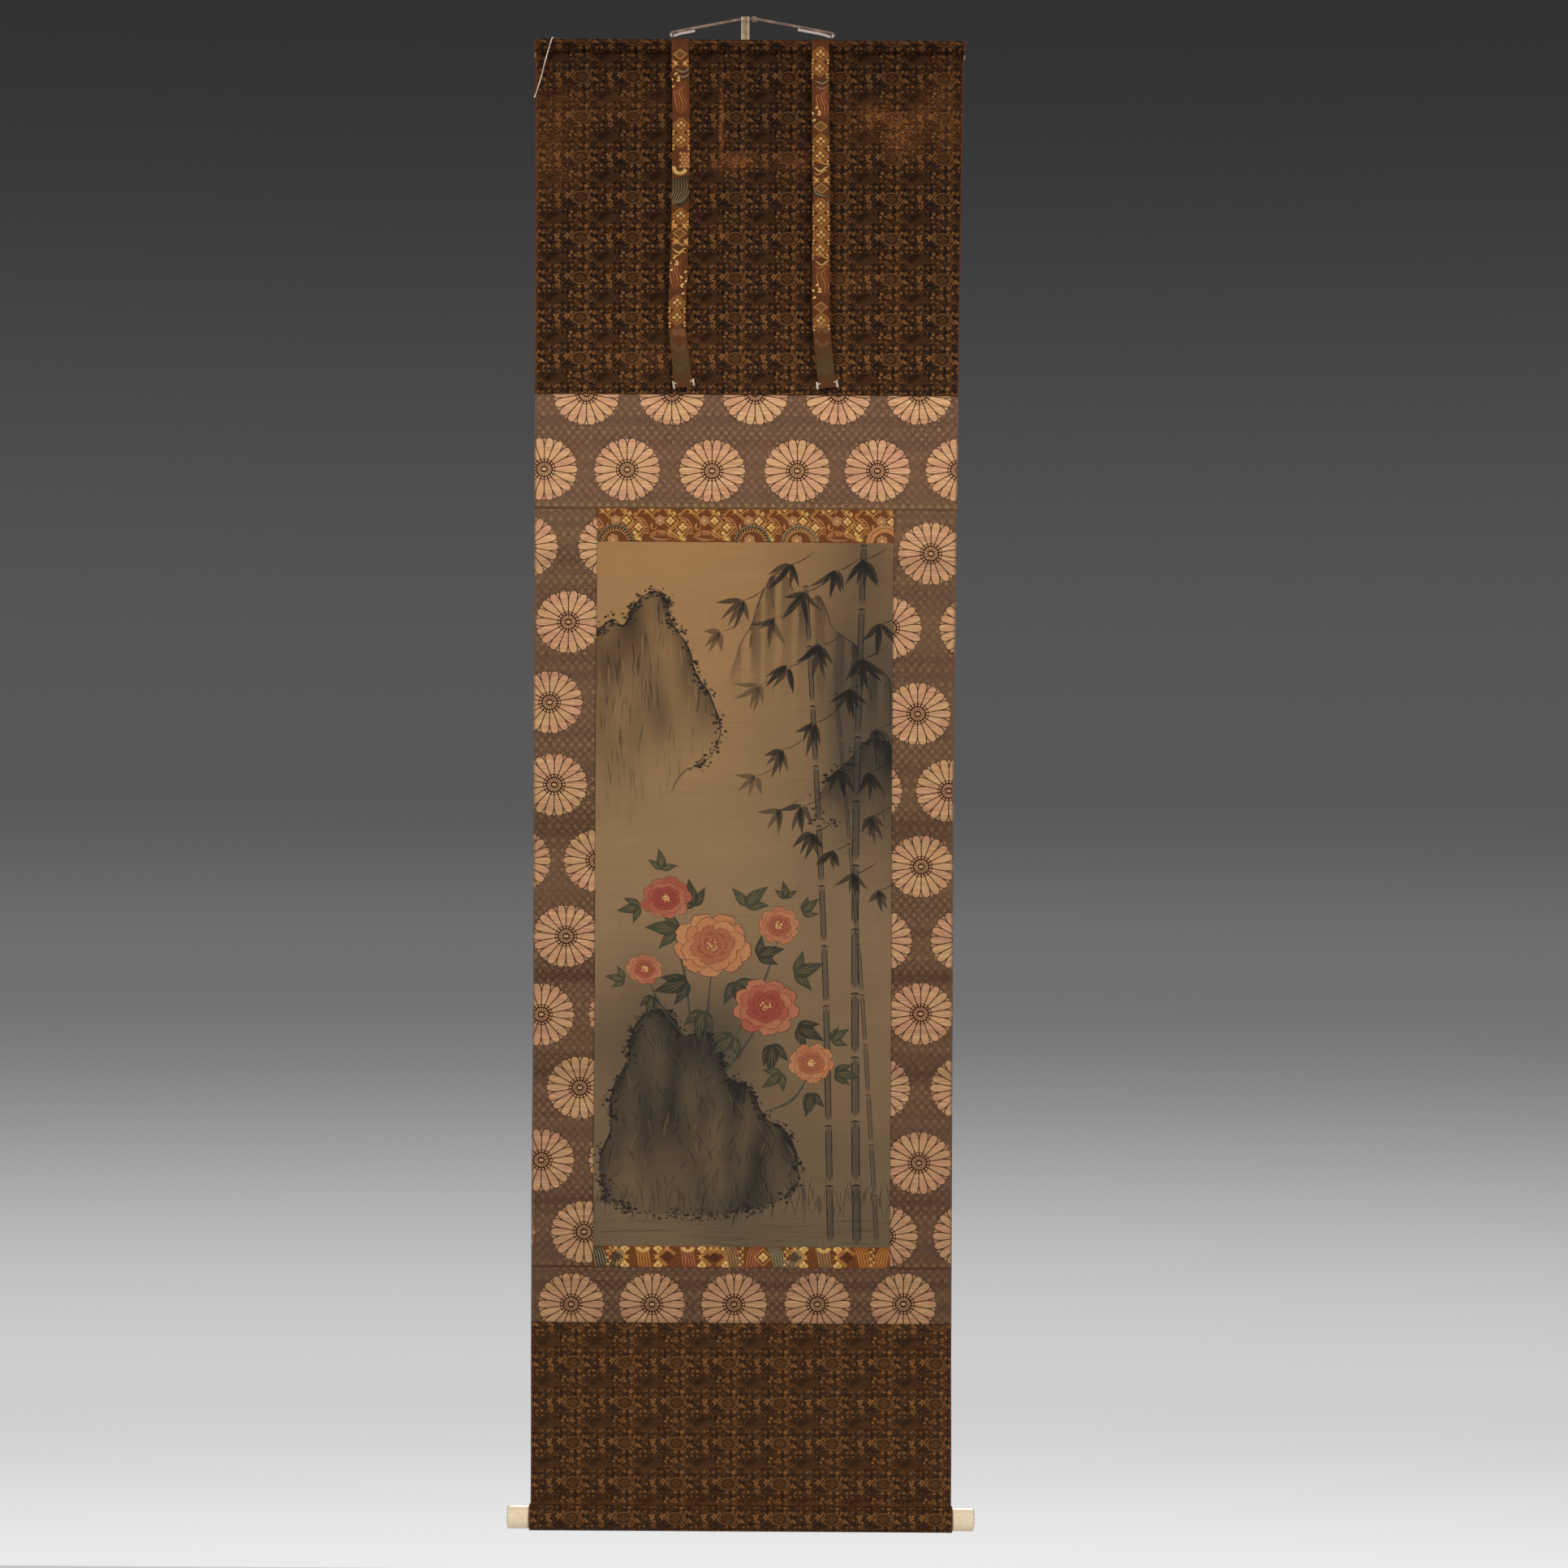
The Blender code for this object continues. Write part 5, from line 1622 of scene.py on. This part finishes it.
NET_HALF = 10.0  # half a lattice cell's width and height, in millimetres
NET_TALL = 8.7
NET_GOLD = srgb(172, 112, 47)
RIBBON_MOTIFS = {
    "ribbon_left": table(
        "kind drop aside",
        ("diamond", 21, 0), ("knots", 32, 0), ("sweeps", 42, 4), ("leaves", 52, -7), ("stems", 74, 0),
        ("net", 107, 0), ("net", 124.5, 0), ("scales", 150, 3), ("rays", 160, -1), ("plumes", 193, 0),
        ("net", 216, 1), ("knots", 228, 0), ("diamond", 237, 0), ("knots", 247, 2), ("cloud", 256, 0),
        ("stems", 286, -3), ("leaves", 274, -7), ("leaves", 291, 7), ("leaves", 302, 8), ("net", 321, 0),
        ("net", 338.5, 0), ("dull rays", 372, 0), ("dull plumes", 394, 0),
    ),
    "ribbon_right": table(
        "kind drop aside",
        ("net", 20, 0), ("net", 37.5, -1), ("sweeps", 55, 3), ("stems", 78, 3), ("leaves", 92, -6),
        ("diamond", 107, 0), ("net", 125, 0), ("net", 142.5, -1), ("cloud", 157, 0), ("knots", 172, 0),
        ("diamond", 182, 0), ("plume", 192, 0), ("net", 203, -1), ("net", 220.5, 0), ("net", 238, 0),
        ("net", 255.5, -1), ("cloud", 270, 2), ("stems", 292, 3), ("leaves", 306, -6),
        ("diamond", 325, 0), ("net", 341, 0), ("dull rays", 366, 0), ("dull plumes", 398, 2),
    ),
}


# Each motif is drawn about (x, y) millimetres, which at turns into a place. pick gives the brush its shake.
def net(at, x, y, pick):
    """A cell of the lattice: hatched double lines round four fat diamonds."""
    corners = [at(*p) for p in diamond(x, y, NET_HALF, NET_TALL)]
    shapes = [Shape(corners, blend(GOLD_GROUND, GOLD_BAND, 0.10), 0.9)]
    for a, b in zip(corners, corners[1:] + corners[:1]):
        shapes += band(a, b, NET_GOLD)
    for share, colour in ((0.82, GOLD_DARK), (0.66, GOLD_GROUND)):
        ring = [at(*p) for p in diamond(x, y, NET_HALF * share, NET_TALL * share)]
        shapes.append(Shape(ring, colour, 0.9))
    for k, place in enumerate(diamond(x, y, 3.5, 3.3)):
        shapes.append(lozenge(*at(*place), 0.0028, GOLD_DARK, 0.9))
        shapes.append(lozenge(*at(*place), 0.0022, blend(NET_GOLD, GOLD_BRIGHT, 0.60 - 0.25 * (k % 3))))
    for side in (-1, 1):
        for dx, dy in ((8.7, 6.6), (9.3, 10.6)):
            shapes.append(lozenge(*at(x + dx * side, y + dy), 0.0016, blend(NET_GOLD, GOLD_BRIGHT, 0.4)))
    return shapes


def dark_diamond(at, x, y, pick):
    """A dark diamond edged with gold."""
    return [
        Shape([at(*p) for p in diamond(x, y, 7 * half, 5.4 * half)], colour, 0.75)
        for half, colour in ((1.25, GOLD_BAND), (1.0, GOLD_DARK))
    ]


def knots(at, x, y, pick):
    """Two knots with the bands that run out from them."""
    shapes = []
    for side in (-5.2, 5.2):
        shapes += knot(*at(x + side, y))
        for rise in (-4.5, 4.5):
            shapes += band(at(x + side, y), at(x + side * 2, y + rise))
    return shapes


def sweeps(at, x, y, pick):
    """Grey and dark strokes that sweep across."""
    shapes = []
    for k in range(5):
        line = [at(x - 11 + k, y - 7 + 3.6 * k), at(x, y - 3 + 3.2 * k), at(x + 8, y - 9 + 3.4 * k)]
        shapes.append(stroke(line, Brush(0.0016, 0.3, 0.1), GOLD_GREY if k % 2 else GOLD_GREEN, 0.6, pick, 6))
    return shapes


def bright_leaves(at, x, y, pick):
    """A scatter of bright leaves."""
    return [
        leaf(*at(x + dx, y + dy), 0.0052, 0.0030, turn, GOLD_BRIGHT, 0.9, 20, 5)
        for dx, dy, turn in ((0, -6, -60), (-1.5, 0, 200), (2.0, 1, -20), (0, 6, 130), (3.0, -4, 30))
    ]


def stems(at, x, y, pick):
    """Four curved stems on a redder field."""
    field = [at(x - 9, y - 17), at(x + 6, y - 21), at(x + 9, y + 14), at(x, y + 20), at(x - 8, y + 12)]
    shapes = [Shape(field, srgb(124, 60, 26), 0.5)]
    for k in range(4):
        line = [at(x + 7 - 4 * k, y - 18 + 3 * k), at(x + 1 - 3 * k, y - 7)]
        line += [at(x + 6 - 4 * k, y + 6), at(x - 2 * k + 3, y + 17)]
        colour = (srgb(158, 100, 56), GOLD_WING)[k % 2]
        shapes.append(stroke(line, Brush(0.0010, 0.3, 0.1), colour, 0.7, pick, 6))
    return shapes


def scales(at, x, y, pick):
    """Staggered rows of small lozenges."""
    return [
        lozenge(*at(x - 3 + 4.6 * k + 2.3 * (row % 2), y - 9 + 3.8 * row), 0.0020, GOLD_WING, 0.9)
        for row in range(5)
        for k in range(3)
    ]


def rays(at, x, y, pick, colour=GOLD_BRIGHT, strength=0.95):
    """A half ring of slanting rays."""
    shapes = []
    for k in range(15):
        a = radians(10 + 12 * k)
        inner = at(x + 4.5 * cos(a), y - 2 + 4.5 * sin(a))
        outer = at(x + 10.5 * cos(a + 0.25), y - 2 + 9.5 * sin(a + 0.25))
        shapes.append(stroke([inner, outer], Brush(0.0016, 0.5, 0.0), colour, strength, pick, 3))
    return shapes


def dull_rays(at, x, y, pick):
    """Faint rays with faint rings above them."""
    shapes = rays(at, x, y, pick, srgb(136, 92, 48), 0.40)
    for k in range(7):
        ring = [at(x + (9 - k) * cos(a / 6), y - 9 + (14 - 1.5 * k) * -abs(sin(a / 6))) for a in range(19)]
        shapes.append(stroke(ring, Brush(0.0007, 0.2, 0.0), GOLD_WING, 0.35, pick, 3))
    return shapes


def dull_plumes(at, x, y, pick, colour=srgb(96, 80, 50), strength=0.5):
    """Fine curved barbs side by side."""
    shapes = []
    for k in range(7):
        line = [at(x + 11 - 3.4 * k, y - 22), at(x + 11 - 3.2 * k, y - 9)]
        line += [at(x + 4 - 2.6 * k, y + 4), at(x - 6 - 1.2 * k, y + 9)]
        shapes.append(stroke(line, Brush(0.0009, 0.3, 0.1), colour, strength, pick, 6))
    return shapes


def plumes(at, x, y, pick):
    """Plumes on a dark green field."""
    field = [at(x - 10, y - 22), at(x + 11, y - 26), at(x + 10, y + 4), at(x, y + 14), at(x - 10, y + 6)]
    return [Shape(field, GOLD_GREEN, 0.85)] + dull_plumes(at, x, y, pick, srgb(142, 122, 82), 0.85)


def plume(at, x, y, pick):
    """Two broad dark plumes with grey quills."""
    shapes = []
    for drop, side in ((-4, 1), (11, -1)):
        line = [at(x - 9 * side, y + drop - 9), at(x - 6 * side, y + drop), at(x + 9 * side, y + drop + 4)]
        shapes.append(stroke(line, Brush(0.0042, 0.4, 0.1), GOLD_GREEN, 0.9, pick, 6))
        shapes.append(stroke(line, Brush(0.0009, 0.3, 0.1), GOLD_GREY, 0.9, pick, 6))
    return shapes


def wavy_cloud(at, x, y, pick):
    """Wavy bands of gold and brown."""
    shapes = []
    for k in range(4):
        ring = [at(x - 9 + 3 * a, y - 7 + 4.2 * k - 2.6 * sin(pi * a / 3 + k)) for a in range(7)]
        colour = (GOLD_BAND, GOLD_DARK, GOLD_YELLOW)[k % 3]
        shapes.append(stroke(ring, Brush(0.0017, 0.3, 0.1), colour, 0.8, pick, 6))
    return shapes


RIBBON_DRAWN = {
    "net": net, "diamond": dark_diamond, "knots": knots, "sweeps": sweeps, "leaves": bright_leaves,
    "stems": stems, "scales": scales, "rays": rays, "dull rays": dull_rays, "plumes": plumes,
    "dull plumes": dull_plumes, "plume": plume, "cloud": wavy_cloud,
}


def ribbon_figures(name, pick):
    """Down a ribbon: lattices of diamonds, stems, rays and plumes, then the dull end."""
    at = millimetres(RIBBON_HALF, 0)
    shapes = []
    for motif in RIBBON_MOTIFS[name]:
        shapes += RIBBON_DRAWN[motif.kind](at, motif.aside, motif.drop, pick)
    return shapes


def ribbon_ground(_, t):
    """Reddish brown with painted shade along the fold, dull below the fold and grey-green near the end."""
    if t < 0.3525:
        # painted shade along the ribbon's fold
        crease = exp(-(((t - 0.3515) / 0.0022) ** 2))
        return blend(srgb(93, 50, 19), srgb(40, 22, 12), crease * 0.85)
    low = min(max((t - 0.372) / 0.02, 0), 1) * min(max((0.415 - t) / 0.012, 0), 1)
    return blend(srgb(94, 54, 24), srgb(78, 62, 34), low * 0.75)


def make_picture():
    """The painted silk and the gold strips above and below it."""
    for name, top, bottom, shapes, ground, step, material, slot in (
        ("gold_strip_top", UPPER_BAND_SEAM, UPPER_GOLD_SEAM,
         gold_shapes("gold_strip_top"), lambda s, t: GOLD_GROUND, STEP, gold_cloth, "gold_brocade"),
        ("gold_strip_bottom", PICTURE_SEAM, LOWER_GOLD_SEAM,
         gold_shapes("gold_strip_bottom"), lambda s, t: GOLD_GROUND, STEP, gold_cloth, "gold_brocade"),
        ("picture_silk", UPPER_GOLD_SEAM, PICTURE_SEAM,
         painting_shapes(), silk_ground, SILK_STEP, silk, "painted_silk"),
    ):
        tall = bottom - top
        place = mounted(top, bottom)
        obj = mosaic(name, PICTURE_WIDE, tall, shapes, ground, place, step, material, slot)


def ribbon_line(side):
    """(x, y, z) points down a ribbon's middle."""
    reach = ROD_OUTER + RIBBON_GAP + CLOTH / 2
    x = getattr(RIBBONS[0], side)
    over = arc((ROD_FLAT, ROD_DROP), reach, RIBBON_START_ANGLE, 180, 10)[:-1]
    top = [Vector((x, y, CLOTH_TOP - drop)) for y, drop in over]
    hang = [Vector((getattr(p, side), -p.front, CLOTH_TOP - p.drop)) for p in RIBBONS]
    return top + smooth(hang, [16, 16, 10, 10, 6, 6, 8, 8])


def lengths(line):
    """How far along a line each of its points is."""
    return [0.0, *accumulate((b - a).length for a, b in zip(line, line[1:]))]


def make_ribbon(side):
    """One ribbon over the rod and down the front. Gives its lower end and the direction across it."""
    line = ribbon_line(side)
    run = lengths(line)

    def at(t):
        """The line's place at a length along it, and the direction across it."""
        i = min(max(sum(1 for r in run if r <= t) - 1, 0), len(line) - 2)
        place = line[i].lerp(line[i + 1], (t - run[i]) / (run[i + 1] - run[i]))
        ahead = line[min(i + 3, len(line) - 1)] - line[max(i - 2, 0)]
        across = Vector((1, 0, 0)) if i < 10 else Vector((-ahead.z, 0, ahead.x)).normalized()
        return place, across

    def place(s, t):
        middle, across = at(t)
        bow = 0.0006 * (1 - (s / RIBBON_HALF - 1) ** 2) * min(1, t / 0.05)
        where = middle + across * (s - RIBBON_HALF) + Vector((0, -bow, 0))
        return Spot(where, (s, t), 0, min(s, 2 * RIBBON_HALF - s), min(t, run[-1] - t))

    name, wide = "ribbon_" + side, 2 * RIBBON_HALF
    obj = mosaic(
        name, wide, run[-1], gold_shapes(name), ribbon_ground, place, RIBBON_STEP, gold_cloth, "gold_brocade"
    )
    return at(run[-1])


# ------------------------------------------------------------------ cords and threads
TIE_STEP = 0.002
BRAID_STEP = 0.0005
BRAID_PAIRS = 4
CORD_LAY = 0.011  # length of one turn of a strand round the cord
THREAD_STEP = 0.0006
THREAD_LAY = 0.0042
FIBRE_RADIUS = 0.00021  # of a tuft's threads
TUFT_THREADS = 24
TUFT_TIE = 0.0009  # height of the thread wound round a tuft's waist
STITCH = 0.0004  # between a stitch's threads, and from them to the ribbon
TURN_RADIUS = 0.0010  # of the tie's turns on the cord
TURN_INSET = 0.0009


def tube(name, node, slot, lines, radius, material, facets=1):
    """Round strands along lines of points, as one piece."""
    curve = bpy.data.curves.new(name, "CURVE")
    curve.dimensions = "3D"
    curve.bevel_depth = 1
    curve.bevel_resolution = facets
    curve.use_fill_caps = True
    for points in lines:
        spline = curve.splines.new("POLY")
        spline.points.add(len(points) - 1)
        for target, place in zip(spline.points, points):
            target.co = (*place, 1)
            target.radius = radius
    curve.materials.append(material)
    declare(bpy.data.objects.new(name, curve), node, slot)


def even(points, size):
    """Points along a line at an even spacing."""
    run = lengths(points)
    count = max(2, round(run[-1] / size))
    line, i = [], 0
    for k in range(count + 1):
        t = run[-1] * k / count
        while i < len(points) - 2 and run[i + 1] < t:
            i += 1
        line.append(points[i].lerp(points[i + 1], (t - run[i]) / (run[i + 1] - run[i])))
    return line


def frames(line):
    """Two directions square to a line at each of its points, carried along without twist."""
    made, side = [], None
    for i in range(len(line)):
        ahead = heading(line, i)
        if side is None:
            side = ahead.orthogonal()
        side = (side - ahead * side.dot(ahead)).normalized()
        made.append((side, ahead.cross(side)))
    return made


def braided(points, radius, lay):
    """Strands of a round braid: half run each way round, passing over and under each other."""
    line = even(points, BRAID_STEP)
    sides = frames(line)
    thick = radius * 0.36
    made = []
    for way in (1, -1):
        for k in range(BRAID_PAIRS):
            strand = []
            for i, (point, (a, b)) in enumerate(zip(line, sides)):
                along = 2 * pi * i * BRAID_STEP / lay
                turn = way * along + 2 * pi * k / BRAID_PAIRS
                over = cos(BRAID_PAIRS * along + (0 if way > 0 else pi) + pi * k)
                reach = radius - thick + thick * 0.32 * over
                strand.append(point + (a * cos(turn) + b * sin(turn)) * reach)
            made.append(strand)
    return made, thick


def make_eye(name, x):
    """A split pin bent from wire: a ring above the rod and two legs down into it."""
    opening = asin(EYE_LEG / EYE_RADIUS)
    turns = spread(-pi / 2 + opening, 3 * pi / 2 - opening, 32)
    ring = [(EYE_Y + EYE_RADIUS * cos(a), eye_height() + EYE_RADIUS * sin(a)) for a in turns]
    foot = CLOTH_TOP - EYE_DEPTH
    bent = [(EYE_Y + EYE_LEG, foot), *ring, (EYE_Y - EYE_LEG, foot)]
    tube(name + "_wire", name, "iron", [[Vector((x, y, z)) for y, z in bent]], EYE_WIRE, iron, facets=3)


def cord_end(eye_x, peak_x, tail):
    """The cord's (x, z) route from its tail, down through the eye, round it and up towards the peak."""
    middle = eye_height()
    inwards = 1 if peak_x > eye_x else -1
    over = Vector((eye_x, middle + 2 * EYE_RADIUS))
    along = (Vector((peak_x, CORD_RADIUS)) - over).normalized()
    down = Vector((along.y * inwards, -along.x * inwards)) * CORD_PARTING
    strand = [over + along * reach + down for reach in spread(tail, tail / 3, 3)]
    turn = [
        Vector((eye_x - inwards * EYE_RADIUS * sin(a), middle + EYE_RADIUS - EYE_RADIUS * cos(a)))
        for a in spread(0, pi, 12)
    ]
    run = (Vector((peak_x, CORD_RADIUS)) - over).length
    climb = [over + along * reach for reach in spread(run / 8, run * 0.95, 7)]
    return strand + turn + climb


def make_cord():
    """The braided cord, from eye to eye over its short flat peak."""
    left = cord_end(EYE_LEFT, PEAK_LEFT, CORD_TAIL_LEFT)
    right = cord_end(EYE_RIGHT, PEAK_RIGHT, CORD_TAIL_RIGHT)
    peak = [Vector((x, CORD_RADIUS)) for x in spread(PEAK_LEFT, PEAK_RIGHT, 3)]
    route = [Vector((p.x, EYE_Y, p.y)) for p in left + peak + right[::-1]]
    strands, thick = braided(smooth(route, 4), CORD_RADIUS, CORD_LAY)
    tube("hanging_cord_braid", "hanging_cord", "braid", strands, thick, cord_braid)


def make_tie():
    """The flat braided tie: over the cord, then down behind the scroll."""
    reach = CORD_RADIUS + JOIN + CLOTH / 2
    over = [Vector((0, *place)) for place in arc((EYE_Y, CORD_RADIUS), reach, -20, -265, 20)]
    below = [over[-1]] + [Vector((0, p.back, p.z)) for p in TIE_ROUTE]
    path = over + even(smooth(below, 8), TIE_STEP)[1:]
    run = lengths(path)
    columns = 8

    def spot(row, column):
        share = column / columns
        place = path[row] + Vector((TIE_X + (share - 0.5) * TIE_WIDTH, 0, 0))
        side = min(share, 1 - share) * TIE_WIDTH
        return Spot(place, (share * TIE_WIDTH, run[row]), (0, 1), side, RIM_REACH)

    obj = sheet_piece("tie", len(path) - 1, columns, spot, tape, "braid", back=tape)


def make_knot():
    """The tie's other end, wound three times round the cord."""
    reach = CORD_RADIUS + JOIN + 0.0006
    places = spread(TIE_KNOT_START + TURN_INSET, TIE_KNOT_END - TURN_INSET, 72)
    turns = spread(0, 6 * pi, 72)
    line = [
        Vector((x, EYE_Y + reach * cos(a), CORD_RADIUS + reach * sin(a))) for x, a in zip(places, turns)
    ]
    tube("tie_knot_turns", "tie_knot", "braid", [line], TURN_RADIUS, braid, facets=3)


def make_corner_thread():
    """Two plies of pale thread, looped round the rod's end."""
    loop = [Vector((p.x, p.y, CLOTH_TOP - p.drop)) for p in THREAD_ROUTE]
    line = smooth(loop + [loop[0]], 8)[:-1]
    line = even(line + [line[0]], THREAD_STEP)[:-1]
    sides = frames(line)
    plies = []
    for k in range(2):
        ply = []
        for i, (point, (a, b)) in enumerate(zip(line, sides)):
            turn = 2 * pi * (i * THREAD_STEP / THREAD_LAY) + pi * k
            ply.append(point + (a * cos(turn) + b * sin(turn)) * THREAD_RADIUS * 0.42)
        plies.append(ply)
    tube("corner_thread_plies", "corner_thread", "pale_thread", plies, THREAD_RADIUS * 0.52, pale_thread)


def make_tuft(name, foot, across, sign, seed):
    """A tied bundle of threads beside a ribbon's corner, its stitch running into the ribbon."""
    pick = random.Random(seed)
    up = Vector((-across.z, 0, across.x))
    back = Vector((0, 1, 0))
    top = foot + up * (TUFT_LENGTH - TUFT_OVERHANG) + across * sign * (RIBBON_HALF + JOIN + TUFT_RADIUS)
    threads = []
    for k in range(TUFT_THREADS):
        a = 2 * pi * k / TUFT_THREADS + pick.uniform(-0.1, 0.1)
        out = across * cos(a) + back * sin(a)
        share = 0.92 if k % 3 else 0.45
        end = pick.uniform(0.90, 1.0)
        profile = ((0.0, 0.75), (0.12, 0.90), (0.28, 0.52), (0.50, 0.88), (end, 0.95))
        line = [top - up * TUFT_LENGTH * d + out * TUFT_RADIUS * share * r for d, r in profile]
        threads.append(smooth(line, 4))
    waist = top - up * TUFT_LENGTH * 0.28
    turns = [k * pi / 6 for k in range(37)]
    rises = [(k / 36 - 0.5) * TUFT_TIE for k in range(37)]
    threads.append([
        waist + (across * cos(a) + back * sin(a)) * TUFT_WAIST + up * rise
        for a, rise in zip(turns, rises)
    ])
    inner = across * -sign
    for lift in (-STITCH, 0.0, STITCH):  # three threads over the ribbon's face and back in
        over = Vector((0, -CLOTH / 2 - STITCH, 0)) + up * lift
        threads.append(smooth([
            waist + inner * TUFT_WAIST + up * lift, waist + inner * (TUFT_RADIUS + 0.0006) + over,
            waist + inner * (TUFT_RADIUS + 0.0030) + over, waist + inner * (TUFT_RADIUS + 0.0036) + up * lift,
        ], 3))
    tube(name + "_threads", name, "pale_thread", threads, FIBRE_RADIUS, pale_thread)


# ------------------------------------------------------------------ turned parts
KNOB_FACETS = 72


def make_knob(node, sign):
    """A bone knob with a rounded, slightly crowned end and a socket for the roller's tenon."""
    shoulder = KNOB_LENGTH - KNOB_CROWN - KNOB_ROUND
    profile = [(0, KNOB_LENGTH), (KNOB_RADIUS * 0.4, KNOB_LENGTH - KNOB_CROWN * 0.25)]
    profile += [
        (KNOB_RADIUS - KNOB_ROUND + KNOB_ROUND * cos(a), shoulder + KNOB_ROUND * sin(a))
        for a in [radians(angle) for angle in spread(90, 0, 10)]
    ]
    profile += [(KNOB_RADIUS - 0.0001, shoulder * 0.6), (KNOB_NECK + 0.0001, 0.0012), (KNOB_NECK, 0.0006)]
    profile += [(KNOB_NECK - 0.0006, 0), (TENON_RADIUS + JOIN, 0), (TENON_RADIUS + JOIN, TENON), (0, TENON)]
    mesh = bpy.data.meshes.new(node + "_turned")
    mesh.from_pydata([(r, 0, h) for r, h in profile], [(i, i + 1) for i in range(len(profile) - 1)], [])
    obj = bpy.data.objects.new(node + "_turned", mesh)
    screw = obj.modifiers.new("Turn", "SCREW")
    screw.steps = screw.render_steps = KNOB_FACETS
    screw.use_merge_vertices = True
    screw.merge_threshold = 0.00001
    obj.rotation_euler = (0, radians(90 * sign), 0)
    obj.location = (sign * (ROLLER_HALF + JOIN), 0, CLOTH_TOP - ROLLER_DROP)
    mesh.materials.append(bone)
    declare(obj, node, "bone")


# ------------------------------------------------------------------ the scroll
make_cord()
make_knot()
make_tie()
make_eye("eye_left", EYE_LEFT)
make_eye("eye_right", EYE_RIGHT)
make_corner_thread()
make_panels()
make_picture()
for side, seed in (("left", 1), ("right", 3)):
    foot, across = make_ribbon(side)
    make_tuft(f"tuft_{side}_left", foot, across, -1, seed)
    make_tuft(f"tuft_{side}_right", foot, across, 1, seed + 1)
make_knob("knob_left", -1)
make_knob("knob_right", 1)
for node in ("hanging_rod", "roller"):
    bpy.data.objects[node].material_slots[0].material = wood

# ------------------------------------------------------------------ floor, light and camera
CAMERA_AWAY = 5.0
AIM = Vector((0.0467, 0.0, -0.921))
VIEW_WIDTH = 1.893
ROLL = 0.36
FLOOR = -2.25
FLOOR_CORNERS = ((-2.2, -2.2, FLOOR), (2.2, -2.2, FLOOR), (2.2, 2.0, FLOOR), (-2.2, 2.0, FLOOR))
LAMPS_AIM = Vector((0, 0, -0.75))
SOFT_LIGHT = 0.26
BACKDROP_REACH = 0.19  # how far above and below the horizon the backdrop's shades run

scene = bpy.context.scene
scene.view_settings.view_transform = "Standard"

floor_mesh = bpy.data.meshes.new("floor")
floor_mesh.from_pydata(FLOOR_CORNERS, [], [(0, 1, 2, 3)])
floor = bpy.data.objects.new("floor", floor_mesh)
scene.collection.objects.link(floor)
floor_look = Look("plain_floor", roughness=0.9)
floor_mesh.materials.append(floor_look.finish(srgb(214, 214, 214)))

world = bpy.data.worlds.new("Studio")
world.use_nodes = True
scene.world = world


def backdrop(tree):
    """Dark above and pale below, as on a studio wall lit from the floor. It sheds an even soft light."""
    out = tree.nodes["World Output"]
    even_light = tree.nodes["Background"]
    even_light.inputs["Color"].default_value = (1, 1, 1, 1)
    even_light.inputs["Strength"].default_value = SOFT_LIGHT
    seen = tree.nodes.new("ShaderNodeBackground")
    coords = tree.nodes.new("ShaderNodeTexCoord")
    parts = tree.nodes.new("ShaderNodeSeparateXYZ")
    ramp = tree.nodes.new("ShaderNodeValToRGB")
    scale = tree.nodes.new("ShaderNodeMapRange")
    scale.inputs["From Min"].default_value = -BACKDROP_REACH
    scale.inputs["From Max"].default_value = BACKDROP_REACH
    ramp.color_ramp.interpolation = "EASE"
    stops = ((0.0, 236), (0.12, 206), (0.38, 112), (0.5, 88), (1.0, 50))
    for position, _ in stops[1:-1]:
        ramp.color_ramp.elements.new(position)
    for element, (position, grey) in zip(ramp.color_ramp.elements, stops):
        element.position = position
        element.color = srgb(grey, grey, grey)
    path = tree.nodes.new("ShaderNodeLightPath")
    choose = tree.nodes.new("ShaderNodeMixShader")
    links = tree.links
    links.new(coords.outputs["Generated"], parts.inputs[0])
    links.new(parts.outputs["Z"], scale.inputs["Value"])
    links.new(scale.outputs["Result"], ramp.inputs["Fac"])
    links.new(ramp.outputs["Color"], seen.inputs["Color"])
    links.new(path.outputs["Is Camera Ray"], choose.inputs[0])
    links.new(even_light.outputs[0], choose.inputs[1])
    links.new(seen.outputs[0], choose.inputs[2])
    links.new(choose.outputs[0], out.inputs["Surface"])


backdrop(world.node_tree)

LAMPS = table(
    "name place width height power",
    ("left", Vector((-1.9, -2.9, 0.0)), 1.2, 1.6, 53), ("right", Vector((2.0, -2.9, 0.0)), 1.2, 1.6, 53),
    ("top", Vector((0.0, -1.8, 1.9)), 1.8, 0.5, 13), ("rear", Vector((0.3, 2.8, 0.6)), 2.0, 1.4, 90),
)
for lamp in LAMPS:
    light = bpy.data.lights.new(lamp.name, "AREA")
    light.shape = "RECTANGLE"
    light.size = lamp.width
    light.size_y = lamp.height
    light.energy = lamp.power
    obj = bpy.data.objects.new(lamp.name, light)
    obj.location = lamp.place
    obj.rotation_euler = (LAMPS_AIM - lamp.place).to_track_quat("-Z", "Y").to_euler()
    scene.collection.objects.link(obj)

camera = bpy.data.objects.new("camera", bpy.data.cameras.new("camera"))
scene.collection.objects.link(camera)
camera.data.lens = camera.data.sensor_width * CAMERA_AWAY / VIEW_WIDTH
camera.location = AIM + Vector((0, -CAMERA_AWAY, 0))
camera.rotation_euler = (radians(90), radians(-ROLL), 0)
scene.camera = camera

bpy.context.view_layer.update()
